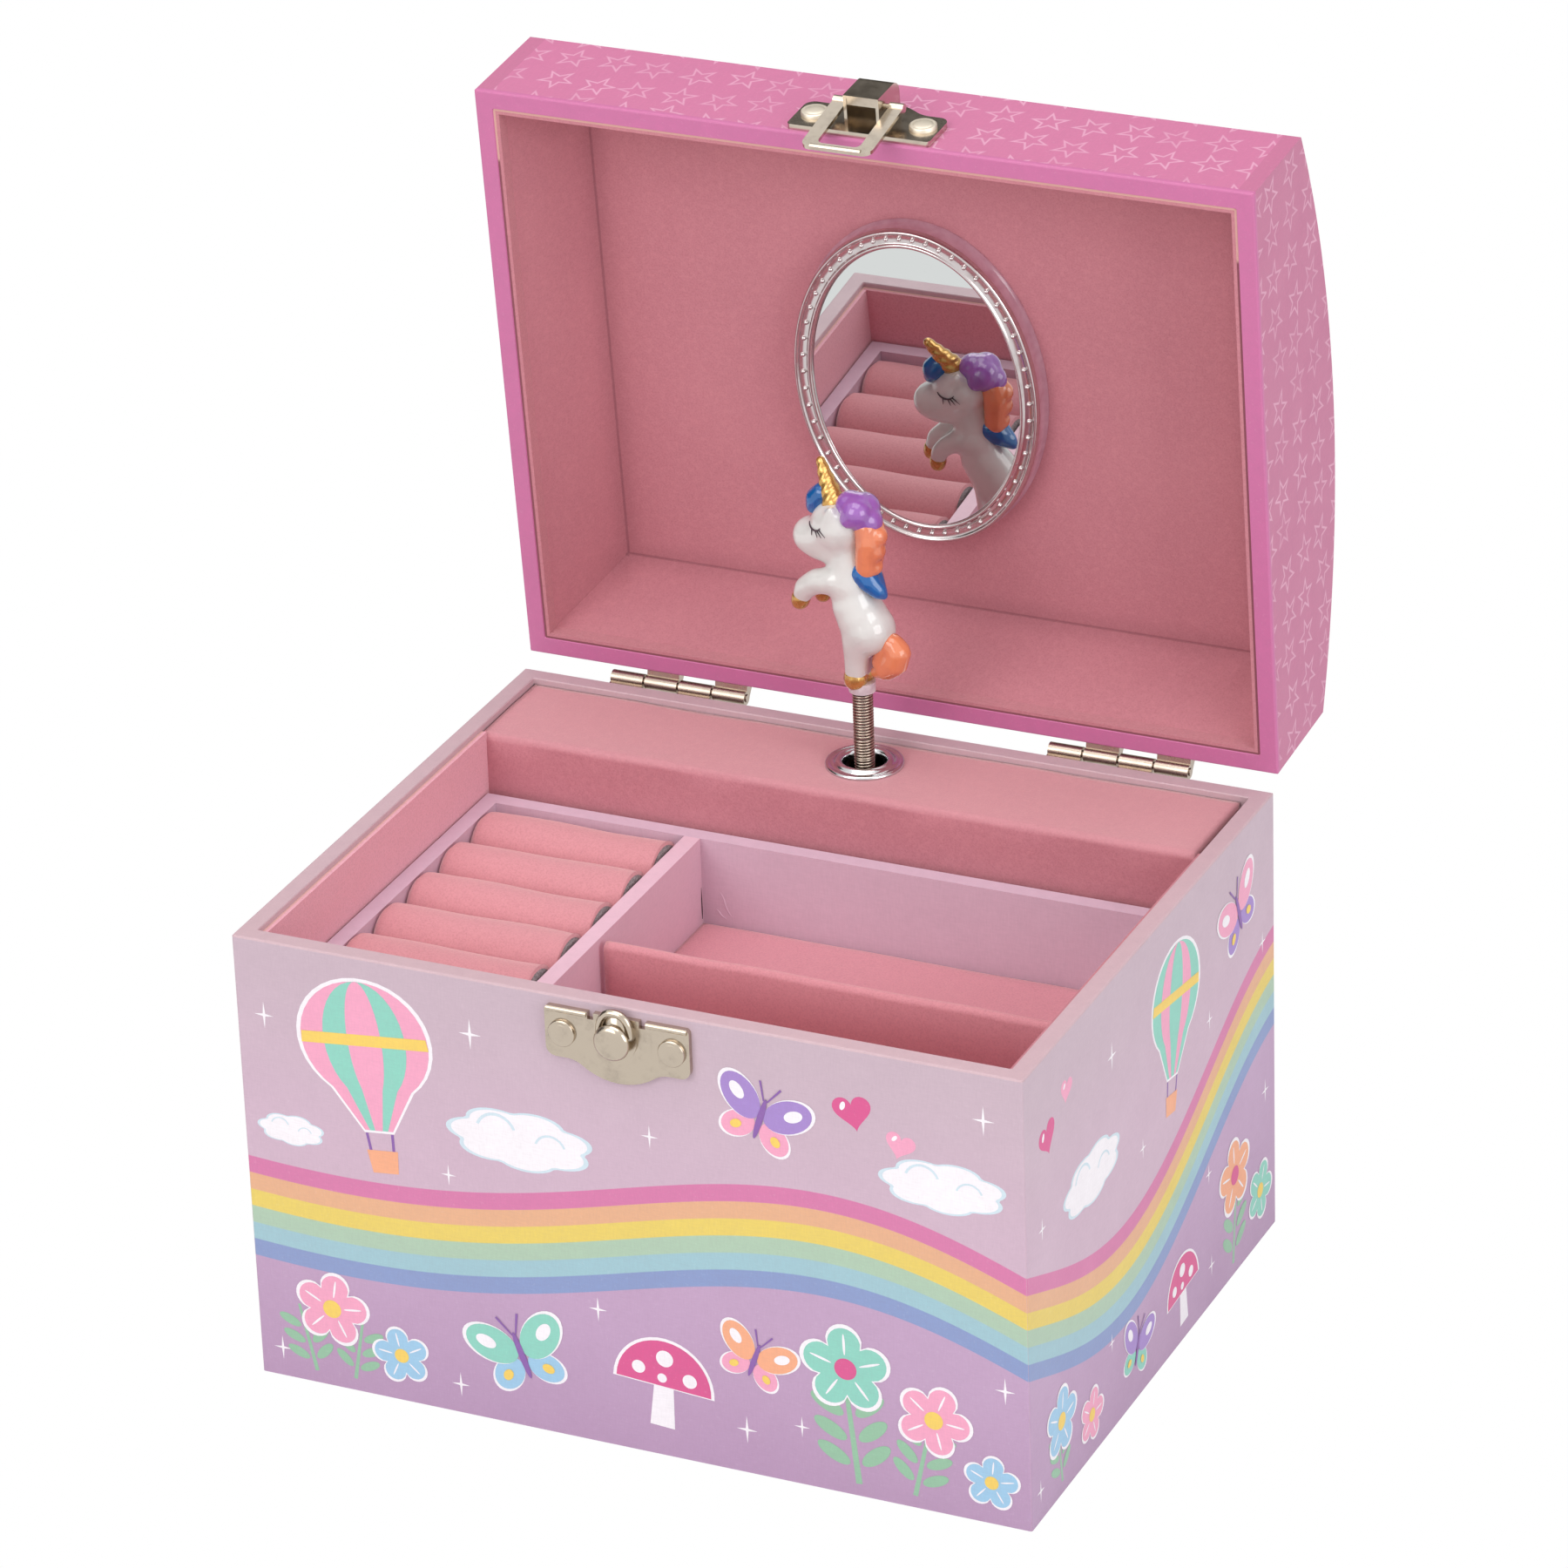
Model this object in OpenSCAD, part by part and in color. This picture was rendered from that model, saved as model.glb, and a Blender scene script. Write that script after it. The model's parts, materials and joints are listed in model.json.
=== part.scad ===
// Musical jewellery box: a papered board case with an arched lid, a lift-out
// tray, and a pinned-cylinder movement that turns a unicorn on a coil spring.
// Millimetres. X runs to the right, Y to the back and Z up. The origin is the
// middle of the case's underside. The lid is drawn open and the tray seated.

/* [Case] */
// Outer width of the case and the lid
box_w = 155; // [140:0.5:190]
// Outer depth of the case and the lid
box_d = 120.3; // [110:0.1:150]
// Height of the case, underside to rim
case_h = 91.2; // [86:0.1:120]
// Thickness of the case and lid boards
board = 3.3; // [2.6:0.1:4]
// Thickness of the bottom panel
bottom_t = 3; // [2:0.1:5]
// Thickness of the velour-faced lining cards
card = 1.2; // [0.8:0.1:1.6]
// How far the lining cards stop below the rim
lining_drop = 1; // [0.5:0.1:3]

/* [Movement cover] */
// Depth of the covered space for the movement, front to back
cover_d = 22.9; // [22:0.1:28]
// Thickness of the cover's boards
cover_t = 2.5; // [1.5:0.1:3]
// How far the cover's top lies below the rim
cover_drop = 1.5; // [0.5:0.1:3]
// Gap at the cover's right-hand end
cover_gap = 1.5; // [0.5:0.1:3]
// Radius of the hole through the eyelet
eyelet_r = 4.15; // [3.5:0.05:6]
// Wall of the eyelet's barrel
eyelet_wall = 0.6; // [0.4:0.1:1]
// Radius of the eyelet's flange
eyelet_flange_r = 7.5; // [7:0.1:9]
// Height of the eyelet's rolled flange
eyelet_flange_h = 1.3; // [0.8:0.1:1.6]

/* [Tray] */
// Height of the tray
tray_h = 21; // [17:0.5:30]
// How far the tray's rim lies below the case rim
tray_drop = 13.2; // [11:0.1:20]
// Thickness of the tray's walls
tray_wall = 3.3; // [2:0.1:4]
// Thickness of the tray's floor
tray_floor = 2.5; // [1.5:0.1:4]
// Clearance between the tray and the linings
tray_play = 0.4; // [0.2:0.1:1]
// Clearance between the tray and the movement cover
tray_back_play = 1.6; // [0.5:0.1:3]
// Width of the ring section inside the tray
ring_w = 39.8; // [30:0.1:60]
// Number of ring rolls
roll_count = 6; // [4:1:8]
// How far the ring rolls stand above the tray's rim
roll_over = 1; // [0:0.1:2]
// Gap between neighbouring rolls, and at their ends
roll_gap = 0.3; // [0.1:0.1:1]
// Thickness of the velour pad in the jewellery compartments
pad_t = 1.5; // [1:0.1:3]
// Thickness of the loose divider
divider_t = 2.4; // [1.5:0.1:4]
// From the tray's inner back wall to the middle of the divider
divider_back = 43.5; // [20:0.5:60]
// Gap at each end of the divider
divider_gap = 1.2; // [0.4:0.1:2]
// Thickness of the boards that carry the tray
support_t = 3; // [2:0.1:5]

/* [Lid] */
// Height of the lid's straight sides
lid_side_h = 23.8; // [23.3:0.1:40]
// Rise of the lid's arched top above its straight sides
lid_rise = 11.2; // [9:0.1:16]
// Thickness of the bent top
lid_top_t = 2.4; // [1.5:0.1:3]
// Gap between the lid and the case when it is shut
lid_gap = 0.3; // [0.1:0.1:0.6]
// Angle of the open lid
lid_open = 84.87; // [60:0.01:84.9]
// Depth of the lid's lining, rim to ceiling
lining_depth = 22.3; // [22:0.1:23]
// How far the lining leans in, rim to ceiling
lining_lean = 7.1; // [3:0.1:10]
// Height of the lining's upright foot, glued to the lid boards
lining_foot = 3; // [2:0.5:6]

/* [Mirror] */
// Width of the mirror's oval frame
mirror_w = 50; // [40:0.5:60]
// Length of the mirror's oval frame, front to back
mirror_l = 66; // [50:0.5:80]
// Width of the frame's ring
mirror_ring = 4; // [3:0.1:6]
// Thickness of the frame
mirror_frame_t = 4.5; // [2.6:0.1:5.4]
// Thickness of the glass
glass_t = 1.2; // [0.8:0.1:1.6]

/* [Hinges] */
// From the middle of the box to the middle of each hinge
hinge_x = 45.7; // [30:0.1:55]
// Length of each hinge
hinge_l = 28.8; // [20:0.1:34]
// Knuckles in each hinge
knuckles = 4; // [2:2:6]
// Radius of the hinge barrels
barrel_r = 1.4; // [1.3:0.05:1.6]
// Radius of the hinge pins
hinge_pin_r = 0.75; // [0.5:0.05:0.9]
// From the case's back face to the hinge axis
hinge_out = 2.65; // [2.6:0.05:3.5]
// Thickness of the hinge leaves
leaf_t = 0.8; // [0.5:0.05:0.95]
// Height of each hinge leaf
leaf_h = 11; // [8:0.5:16]

/* [Latch] */
// Width of the latch plates
latch_w = 28.4; // [24:0.2:34]
// Height of the latch plates at their ends
latch_h = 10; // [9:0.1:12]
// Depth of the scallop in the middle of the plates' lobed edge
latch_scallop = 3.3; // [2:0.1:4]
// Thickness of the latch plates
latch_t = 1.2; // [0.8:0.1:1.4]
// From the case rim to the lower plate's straight edge
latch_drop = 1.6; // [1.2:0.1:3]
// From the middle to each rivet
rivet_x = 10.8; // [9.5:0.1:12]
// Radius of the rivet heads
rivet_r = 2.6; // [2:0.1:2.8]
// Radius of the latch knob
knob_r = 3.5; // [2.8:0.1:3.9]
// Radius of the knob's neck
neck_r = 1.4; // [1:0.1:2]
// How far the knob stands off the case
knob_out = 4.5; // [4.4:0.1:5.2]
// Width of the space between the hasp's legs
hasp_inner_w = 8.4; // [8.2:0.1:9]
// Width of the hasp's legs
hasp_leg_w = 2.8; // [2:0.1:3.2]
// Thickness of the hasp's strip
hasp_t = 0.7; // [0.5:0.1:1]
// Width of the hasp's bar
hasp_bar_w = 1.6; // [1.2:0.1:2]
// Gap between the shut hasp and the plate and neck behind it
hasp_clear = 0.3; // [0.2:0.05:0.4]
// From the catch plate's face to the hasp's pivot
hasp_out = 3; // [2.6:0.1:3.8]
// Width of the spring housing that carries the hasp
catch_w = 7; // [5:0.1:7.4]
// Length of the spring housing
catch_l = 9.5; // [8:0.1:11]
// Height of the spring housing above its plate
catch_h = 6; // [4:0.1:7]
// Radius of the hasp's pivot
hasp_pin_r = 0.5; // [0.4:0.05:0.7]

/* [Figurine] */
// Height of the figurine, feet to horn
figure_h = 44; // [38:0.5:46]
// Turn of the figurine about its spindle
figure_turn = -8; // [-180:1:180]
// Height of the figurine's feet above the movement cover
figure_foot = 17.5; // [16:0.5:22]
// Outer radius of the coil spring
coil_r = 2; // [1.85:0.05:2.5]
// Diameter of the spring's wire
coil_wire = 0.6; // [0.4:0.02:0.8]
// Height of the spring's bend above the movement cover
bend_rise = 4.3; // [4:0.1:6]
// Length of the spring that bends
bend_l = 3; // [2:0.2:4]

/* [Movement] */
// From the movement cover's top down to the lower pinion
pinion_drop = 41.2; // [40:0.1:46]
// Thickness of the bedplate
bed_t = 1.6; // [1.2:0.1:2]
// From the bedplate to the cylinder's axis
spindle_off = 7.75; // [7.5:0.05:8.5]
// Radius of the cylinder's arbor
arbor_r = 1.2; // [0.8:0.05:1.4]
// Running clearance of each arbor in its bearing
run = 0.05; // [0.02:0.01:0.09]
// Radius of the pinned cylinder
drum_r = 6; // [5:0.1:6.3]
// Length of the pinned cylinder
drum_l = 16; // [14:0.2:17]
// How far the pins stand out of the cylinder
pin_out = 0.9; // [0.5:0.05:1]
// Notes of the comb
notes = 16; // [10:1:18]
// Pins in each ring of the cylinder
pins_per_note = 4; // [2:1:6]
// Gap between the pins and the comb's tips
comb_gap = 0.3; // [0.2:0.05:0.6]
// Length of the comb's teeth
comb_tooth_l = 12.8; // [10:0.1:15]
// Width of the comb's solid back
comb_back_w = 8; // [6:0.1:10]
// Thickness of the comb
comb_t = 0.8; // [0.6:0.1:1.2]
// Tooth module of the great wheel and its pinion
drive_module = 0.8; // [0.7:0.01:0.84]
// Teeth of the great wheel
great_teeth = 36; // [36:1:36]
// Teeth of the lower pinion
pinion_teeth = 12; // [12:1:12]
// Tooth module of the governor train
train_module = 0.42; // [0.38:0.01:0.43]
// Teeth of the cylinder's upper wheel
cylinder_teeth = 32; // [32:1:32]
// Teeth of the governor wheel
governor_teeth = 30; // [30:1:30]
// Teeth of the small pinions in the governor train
small_teeth = 8; // [8:1:8]
// Radius of the governor arbors
governor_arbor_r = 0.6; // [0.4:0.05:0.7]
// Radius of the fly's blades
fly_r = 5; // [3:0.1:5.5]
// Radius of the mainspring housing
housing_r = 11.6; // [9:0.1:12]
// Length of the mainspring housing
housing_l = 10.5; // [8:0.1:11.5]
// Thickness of the housing's feet
foot_t = 1.5; // [1:0.1:2]
// Radius of the housing's posts
post_r = 1.5; // [1:0.1:1.8]
// Gap between the great wheel and the posts
post_gap = 0.6; // [0.4:0.1:1]
// Radius of the winding arbor
key_arbor_r = 1.6; // [1.2:0.05:2]
// Width of the winding key's bow
key_w = 22; // [16:0.5:30]
// Length of the winding key outside the case
key_l = 19; // [15:0.5:26]

/* [Hidden] */
$fn = 48;

nickel = [0.74, 0.71, 0.66];
brass = [0.80, 0.66, 0.36];
steel = [0.62, 0.63, 0.65];
velour = [0.80, 0.48, 0.52];
case_paper = [0.87, 0.78, 0.87];
lid_paper = [0.90, 0.48, 0.70];
seam = 0.01; // how far pieces of one solid run into each other

// case
front_y = -box_d / 2;
back_y = box_d / 2;
in_x = box_w / 2 - board;
in_y = box_d / 2 - board;
lined_x = in_x - card;
lined_front = -in_y + card;
lining_top = case_h - lining_drop;

// movement cover
shelf_z = case_h - cover_drop;
cover_y = in_y - cover_d;

// tray
tray_x = lined_x - tray_play;
tray_front = lined_front + tray_play;
tray_back = cover_y - tray_back_play;
tray_top = case_h - tray_drop;
tray_z = tray_top - tray_h;
tray_floor_z = tray_z + tray_floor;
tray_in_x = tray_x - tray_wall;
tray_in_front = tray_front + tray_wall;
tray_in_back = tray_back - tray_wall;
tray_in_d = tray_in_back - tray_in_front;
partition_x = -tray_in_x + ring_w;
pad_x = partition_x + tray_wall;
divider_y = tray_in_back - divider_back;
roll_pitch = tray_in_d / roll_count;
roll_r = (roll_pitch - roll_gap) / 2;

// lid, in its shut place
hinge_y = back_y + hinge_out;
hinge_z = case_h + lid_gap / 2;
rim_z = case_h + lid_gap;
lid_side_z = rim_z + lid_side_h;
arch_r = (lid_rise * lid_rise + box_d * box_d / 4) / (2 * lid_rise);
arch_z = lid_side_z + lid_rise - arch_r;
ceiling_z = rim_z + lining_depth;
mirror_channel = 0.6;
glass_z = ceiling_z - mirror_frame_t + mirror_channel + 0.4;

// latch, in its shut place
latch_top = case_h - latch_drop;
rivet_z = latch_top - latch_h / 2;
plate_face = front_y - latch_t;
boss_r = 4.1;
boss_h = 0.4;
knob_z = rivet_z + 1;
catch_edge = rim_z + 0.9;
catch_rivet_z = catch_edge + latch_h / 2 + 0.4;
catch_z = catch_edge + 2.4;
catch_wall = 0.6;
hasp_y = plate_face - hasp_out;
hasp_z = catch_z + 3.6;
hasp_x = hasp_inner_w / 2;
hasp_end_y = plate_face - boss_h - hasp_clear - hasp_t / 2;
hasp_end_z = knob_z - neck_r - hasp_clear - hasp_bar_w;
hasp_lean = atan((hasp_end_y - hasp_y) / (hasp_z - hasp_end_z));
hasp_l = norm([hasp_end_y - hasp_y, hasp_z - hasp_end_z]);
rivet_shank_r = 1.1;
rivet_shank_l = 2.2;

// movement
bed_y = in_y - bed_t;
spindle_y = bed_y - spindle_off;
pinion_z = shelf_z - pinion_drop;
pinion_pitch_r = drive_module * pinion_teeth / 2;
great_pitch_r = drive_module * great_teeth / 2;
key_z = pinion_z - great_pitch_r;
face_w = 2;
great_r = great_pitch_r + face_w / 2;
great_y = spindle_y + pinion_pitch_r + 1.2 * drive_module;
great_t = 1.2;
lug_t = 1.5;
lower_lug_z = pinion_z + face_w / 2 + 0.8;
drum_z = lower_lug_z + lug_t + 0.7;
wheel_z = drum_z + drum_l + 0.7;
wheel_t = 1.2;
governor_z = wheel_z + wheel_t + 0.7;
governor_t = 1;
upper_lug_z = governor_z + governor_t + 1;
cylinder_wheel_r = train_module * cylinder_teeth / 2;
governor_wheel_r = train_module * governor_teeth / 2;
small_r = train_module * small_teeth / 2;
governor_x = -(cylinder_wheel_r + small_r);
fly_x = governor_x - (governor_wheel_r + small_r);
lug_x0 = fly_x - 3;
lug_x1 = 4;
lug_reach = spindle_off + 3;
comb_tip_x = drum_r + pin_out + comb_gap;
comb_back_x = comb_tip_x + comb_tooth_l;
comb_x1 = comb_back_x + comb_back_w;
comb_screw_x = comb_back_x + comb_back_w / 2;
comb_screw_r = 0.9;
note_pitch = drum_l / notes;
bed_x0 = min(lug_x0, -great_r - 5) - 1;
bed_x1 = comb_x1 + 2;
bed_z0 = key_z - great_r - 4.6;
bed_z1 = upper_lug_z + lug_t + 1.5;
post_ring = great_r + post_gap + post_r;
post_angles = [200, 270, 340];
great_tooth_h = 1.6 * drive_module;
housing_y0 = great_y - great_tooth_h - housing_l;
bed_screw_r = 1.1;
bed_screws = [[bed_x0 + 2.6, bed_z0 + 3], [bed_x1 - 3, bed_z0 + 3], [comb_tip_x + 4, bed_z1 - 2.6]];

// spring and figurine
bend_z = shelf_z + bend_rise;
coil_in_r = arbor_r;
root_z = upper_lug_z + lug_t + 0.5;
spring_gap = 0.15;
root_top = bend_z - norm([bend_l / 2, coil_r]) - spring_gap;
upper_z = bend_z + bend_l / 2 + spring_gap;
peg_t = 2;
peg_z = shelf_z + figure_foot - peg_t;

// places its children on the open lid; they are drawn as on the shut lid
module on_lid() {
    translate([0, hinge_y, hinge_z]) rotate([-lid_open, 0, 0])
        translate([0, -hinge_y, -hinge_z]) children();
}

// a box between two opposite corners
module block(low, high) {
    translate(low) cube(high - low);
}

// a cylinder along X, from x0 to x1
module rod_x(x0, x1, y, z, r) {
    translate([x0, y, z]) rotate([0, 90, 0]) cylinder(h = x1 - x0, r = r);
}

// a cylinder along Y, from y0 to y1
module rod_y(x, y0, y1, z, r) {
    translate([x, y0, z]) rotate([-90, 0, 0]) cylinder(h = y1 - y0, r = r);
}

// extrudes a Y-Z outline along X, from x0 to x1
module slab_x(x0, x1) {
    translate([x0, 0, 0]) rotate([90, 0, 90]) linear_extrude(x1 - x0) children();
}

// extrudes an X-Z outline along Y, from y0 to y1
module slab_y(y0, y1) {
    translate([0, y1, 0]) rotate([90, 0, 0]) linear_extrude(y1 - y0) children();
}

// a board of the case, mitred at both ends, as the one across the front
module mitred_board(length, out) {
    linear_extrude(case_h) polygon([[-length / 2, -out], [length / 2, -out],
        [length / 2 - board, -out + board], [-length / 2 + board, -out + board]]);
}

// ---------------------------------------------------------------- case

module bottom_panel() {
    color(case_paper) block([-in_x, -in_y, 0], [in_x, in_y, bottom_t]);
}

module front_wall() {
    color(case_paper) difference() {
        mitred_board(box_w, -front_y);
        for (side = [-1, 1])
            rod_y(side * rivet_x, front_y - 1, front_y + rivet_shank_l, rivet_z, rivet_shank_r);
    }
}

module back_wall() {
    color(case_paper) difference() {
        rotate(180) mitred_board(box_w, back_y);
        rod_y(0, in_y - 1, back_y + 1, key_z, key_hole_r());
        for (p = bed_screws)
            rod_y(p[0], in_y - 1, back_y + 1, p[1], bed_screw_r);
        hinge_nail_shanks(-1);
    }
}

function key_hole_r() = key_arbor_r + 1.6;

module left_wall() {
    color(case_paper) rotate(-90) mitred_board(box_d, box_w / 2);
}

module right_wall() {
    color(case_paper) rotate(90) mitred_board(box_d, box_w / 2);
}

module front_lining() {
    color(velour) block([-in_x, -in_y, bottom_t], [in_x, lined_front, lining_top]);
}

module side_lining() {
    block([-in_x, lined_front, bottom_t], [-lined_x, cover_y, lining_top]);
}

module left_lining() {
    color(velour) side_lining();
}

module right_lining() {
    color(velour) mirror([1, 0, 0]) side_lining();
}

module tray_supports() {
    color(case_paper) for (side = [0, 1]) mirror([side, 0, 0])
        block([-lined_x, lined_front, bottom_t], [-lined_x + support_t, cover_y, tray_z]);
}

module cover_front() {
    color(velour) block([-in_x, cover_y, bottom_t],
        [in_x - cover_gap, cover_y + cover_t, shelf_z - cover_t]);
}

module cover_top() {
    color(velour) difference() {
        block([-in_x, cover_y, shelf_z - cover_t], [in_x - cover_gap, in_y, shelf_z]);
        translate([0, spindle_y, shelf_z - cover_t - 1])
            cylinder(h = cover_t + 2, r = eyelet_r + eyelet_wall);
    }
}

// a rolled eyelet: a short barrel with a domed flange
module eyelet() {
    barrel_r2 = eyelet_r + eyelet_wall;
    f = eyelet_flange_r - eyelet_r;
    h = eyelet_flange_h;
    color(nickel) translate([0, spindle_y, shelf_z]) rotate_extrude() polygon([
        [eyelet_r, -cover_t - 0.6], [barrel_r2, -cover_t - 0.6], [barrel_r2, 0],
        [eyelet_r + f, 0], [eyelet_r + f, 0.35 * h], [eyelet_r + 0.9 * f, 0.62 * h],
        [eyelet_r + 0.78 * f, 0.52 * h], [eyelet_r + 0.64 * f, 0.42 * h], [eyelet_r + 0.52 * f, 0.5 * h],
        [eyelet_r + 0.38 * f, 0.9 * h], [eyelet_r + 0.22 * f, h], [eyelet_r + 0.09 * f, 0.86 * h],
        [eyelet_r, 0.55 * h]]);
}

// ---------------------------------------------------------------- latch

// outline of a latch plate: straight along Z = 0, with two lobes and a
// scallop on the other side
module latch_outline() {
    corner = 0.8;
    lobe = 1.9;
    flow = 5;
    scallop_r = 12;
    offset(r = -flow) offset(r = flow) {
        for (side = [-1, 1]) {
            translate([side * (latch_w / 2 - corner), corner]) circle(corner);
            translate([side * (latch_w / 2 - lobe), latch_h - lobe]) circle(lobe);
        }
        translate([-latch_w / 2 + corner, 0]) square([latch_w - 2 * corner, latch_h / 2]);
        translate([-latch_w / 2, corner]) square([latch_w, latch_h - corner - lobe]);
        translate([-latch_w / 2 + lobe, latch_h / 2]) square([latch_w - 2 * lobe, latch_h / 2]);
        translate([0, latch_h + latch_scallop - scallop_r]) circle(scallop_r);
    }
}

module latch_plate() {
    notch_x = boss_r + 0.4;
    notch_w = 1.2;
    notch_h = 1.3;
    bead_r = 0.55;
    bead_out = 0.35;
    color(nickel) {
        difference() {
            slab_y(plate_face, front_y)
                translate([0, latch_top]) mirror([0, 1]) intersection() {
                    latch_outline();
                    translate([-latch_w, 0]) square(2 * latch_w);
                }
            for (side = [-1, 1]) {
                rod_y(side * rivet_x, plate_face - 1, front_y + 1, rivet_z, rivet_shank_r);
                translate([side * (notch_x + notch_w / 2), 0, latch_top])
                    cube([notch_w, 4 * latch_t + box_d, 2 * notch_h], center = true);
            }
        }
        rod_y(0, plate_face - boss_h, plate_face + seam, knob_z, boss_r);
        for (side = [0, 1]) mirror([side, 0, 0])
            rod_x(notch_x + notch_w + 0.2, latch_w / 2 - 0.4, plate_face + bead_r - bead_out,
                latch_top - bead_r, bead_r);
    }
}

// the knob is a spool, with the curled lip of its strip behind it
module latch_knob() {
    disc_t = 1.3;
    flare = 0.3;
    reach = knob_out - latch_t - boss_h;
    lip_r = 0.95;
    lip_w = 2 * boss_r - 1.6;
    lip_z = latch_top + lip_r;
    color(nickel) {
        translate([0, plate_face - boss_h, knob_z]) rotate([90, 0, 0]) rotate_extrude()
            polygon([[0, 0], [neck_r + flare, 0], [neck_r, flare], [neck_r, reach - disc_t],
                [knob_r - 0.3, reach - disc_t], [knob_r, reach - disc_t + 0.3],
                [knob_r, reach - 0.5], [knob_r - 0.15, reach - 0.15], [knob_r - 0.5, reach],
                [0, reach]]);
        rod_x(-lip_w / 2, lip_w / 2, plate_face - lip_r, lip_z, lip_r);
        block([-lip_w / 2, plate_face - lip_r, knob_z + neck_r],
            [lip_w / 2, plate_face - boss_h, lip_z]);
    }
}

// a rivet seen from the front, its head on the plane Y = 0
module rivet(dimple) {
    h = 0.9;
    rotate([90, 0, 0]) rotate_extrude() polygon([[0, -rivet_shank_l - latch_t],
        [rivet_shank_r, -rivet_shank_l - latch_t], [rivet_shank_r, 0], [rivet_r, 0],
        [0.96 * rivet_r, 0.4 * h], [0.8 * rivet_r, 0.75 * h], [0.55 * rivet_r, h],
        [0.4 * rivet_r, h - dimple * 0.6], [0, h - dimple * 0.6]]);
}

module latch_rivets() {
    color(nickel) for (side = [-1, 1])
        translate([side * rivet_x, plate_face, rivet_z]) rivet(0);
}

module catch_plate() {
    color(nickel) on_lid() difference() {
        slab_y(plate_face, front_y) translate([0, catch_edge]) intersection() {
            latch_outline();
            translate([-latch_w, 0]) square(2 * latch_w);
        }
        for (side = [-1, 1])
            rod_y(side * rivet_x, plate_face - 1, front_y + 1, catch_rivet_z, rivet_shank_r);
    }
}

module catch_rivets() {
    color(nickel) on_lid() for (side = [-1, 1])
        translate([side * rivet_x, plate_face, catch_rivet_z]) rivet(1);
}

// outline of the housing seen from its side, as wide as its height h
// a rounded rectangle about the middle
module rounded(w, h, r) {
    offset(r = r) square([w - 2 * r, h - 2 * r], center = true);
}
// the spring housing from the side
module catch_outline(h, l) {
    round_r = 0.45 * h;
    translate([-h, 0]) square([h, l - round_r]);
    translate([-h + round_r, 0]) square([h - round_r, l]);
    translate([-h + round_r, l - round_r]) circle(round_r);
}

// a pressed housing, open towards the rim, that holds the hasp's spring
module catch_housing() {
    lip = 1.9;
    color(nickel) on_lid() translate([0, plate_face, catch_z]) difference() {
        union() {
            difference() {
                slab_x(-catch_w / 2, catch_w / 2) catch_outline(catch_h, catch_l);
                slab_x(-catch_w / 2 + catch_wall, catch_w / 2 - catch_wall)
                    translate([1, -1]) catch_outline(catch_h - catch_wall + 1, catch_l - catch_wall + 1);
            }
            block([-catch_w / 2 + seam, -catch_h + seam, 0.2],
                [catch_w / 2 - seam, -catch_h + lip, 0.2 + catch_wall]);
        }
        rod_x(-catch_w, catch_w, hasp_y - plate_face, hasp_z - catch_z, hasp_pin_r + run);
    }
}

// a strap bent to a U, with a curled bar, that swings on two stub pins
module hasp() {
    eye_r = 0.9;
    curl_r = 0.5;
    outer = hasp_x + hasp_leg_w;
    bend_r = 2;
    color(nickel) on_lid() translate([0, hasp_y, hasp_z]) rotate([hasp_lean, 0, 0]) {
        slab_y(-hasp_t / 2, hasp_t / 2) intersection() {
            translate([-outer, -hasp_l]) square([2 * outer, hasp_l]);
            difference() {
                rounded(2 * outer, 2 * hasp_l, bend_r);
                rounded(2 * hasp_x, 2 * (hasp_l - hasp_bar_w), 0.6 * bend_r);
            }
        }
        for (side = [0, 1]) mirror([side, 0, 0]) {
            rod_x(hasp_x, outer, 0, 0, eye_r);
            rod_x(catch_w / 2 - catch_wall - 0.4, hasp_x + seam, 0, 0, hasp_pin_r);
        }
        rod_x(-outer + bend_r, outer - bend_r, hasp_t / 2 - curl_r, -hasp_l + curl_r, curl_r);
    }
}

// ---------------------------------------------------------------- hinges

knuckle_l = hinge_l / knuckles;
knuckle_gap = 0.45;
nail_r = 0.6;
nail_head_r = 1.4;
nail_l = 2.4;

// the knuckles of one leaf: every other one, starting at first
module hinge_leaf(first, up) {
    plate_z = hinge_z + up * (barrel_r + 0.3);
    bore = first == 0 ? hinge_pin_r : hinge_pin_r + run;
    difference() {
        union() {
            slab_x(-hinge_l / 2, hinge_l / 2) translate([back_y, 0])
                polygon([[0, plate_z], [leaf_t, plate_z], [leaf_t, plate_z + up * leaf_h],
                    [0, plate_z + up * leaf_h]]);
            for (k = [first : 2 : knuckles - 1]) {
                x0 = -hinge_l / 2 + k * knuckle_l + knuckle_gap / 2;
                x1 = x0 + knuckle_l - knuckle_gap;
                rod_x(x0, x1, hinge_y, hinge_z, barrel_r);
                slab_x(x0, x1) polygon([[back_y, plate_z + up * 0.6], [back_y + leaf_t, plate_z + up * 1.6],
                    [hinge_y + 0.4 * barrel_r, hinge_z + up * 0.85 * barrel_r], [hinge_y, hinge_z],
                    [back_y + 0.35, hinge_z + up * 0.6]]);
            }
        }
        rod_x(-hinge_l, hinge_l, hinge_y, hinge_z, bore);
        for (side = [-1, 1])
            rod_y(side * hinge_l / 3.2, back_y - 1, back_y + 3, leaf_nail_z(up), nail_r);
    }
}

function leaf_nail_z(up) = hinge_z + up * (barrel_r + 0.3 + 0.6 * leaf_h);

module hinge_nail_shanks(up) {
    for (hinge = [-1, 1]) for (side = [-1, 1])
        rod_y(hinge * hinge_x + side * hinge_l / 3.2, back_y - nail_l, back_y + leaf_t,
            leaf_nail_z(up), nail_r);
}

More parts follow.
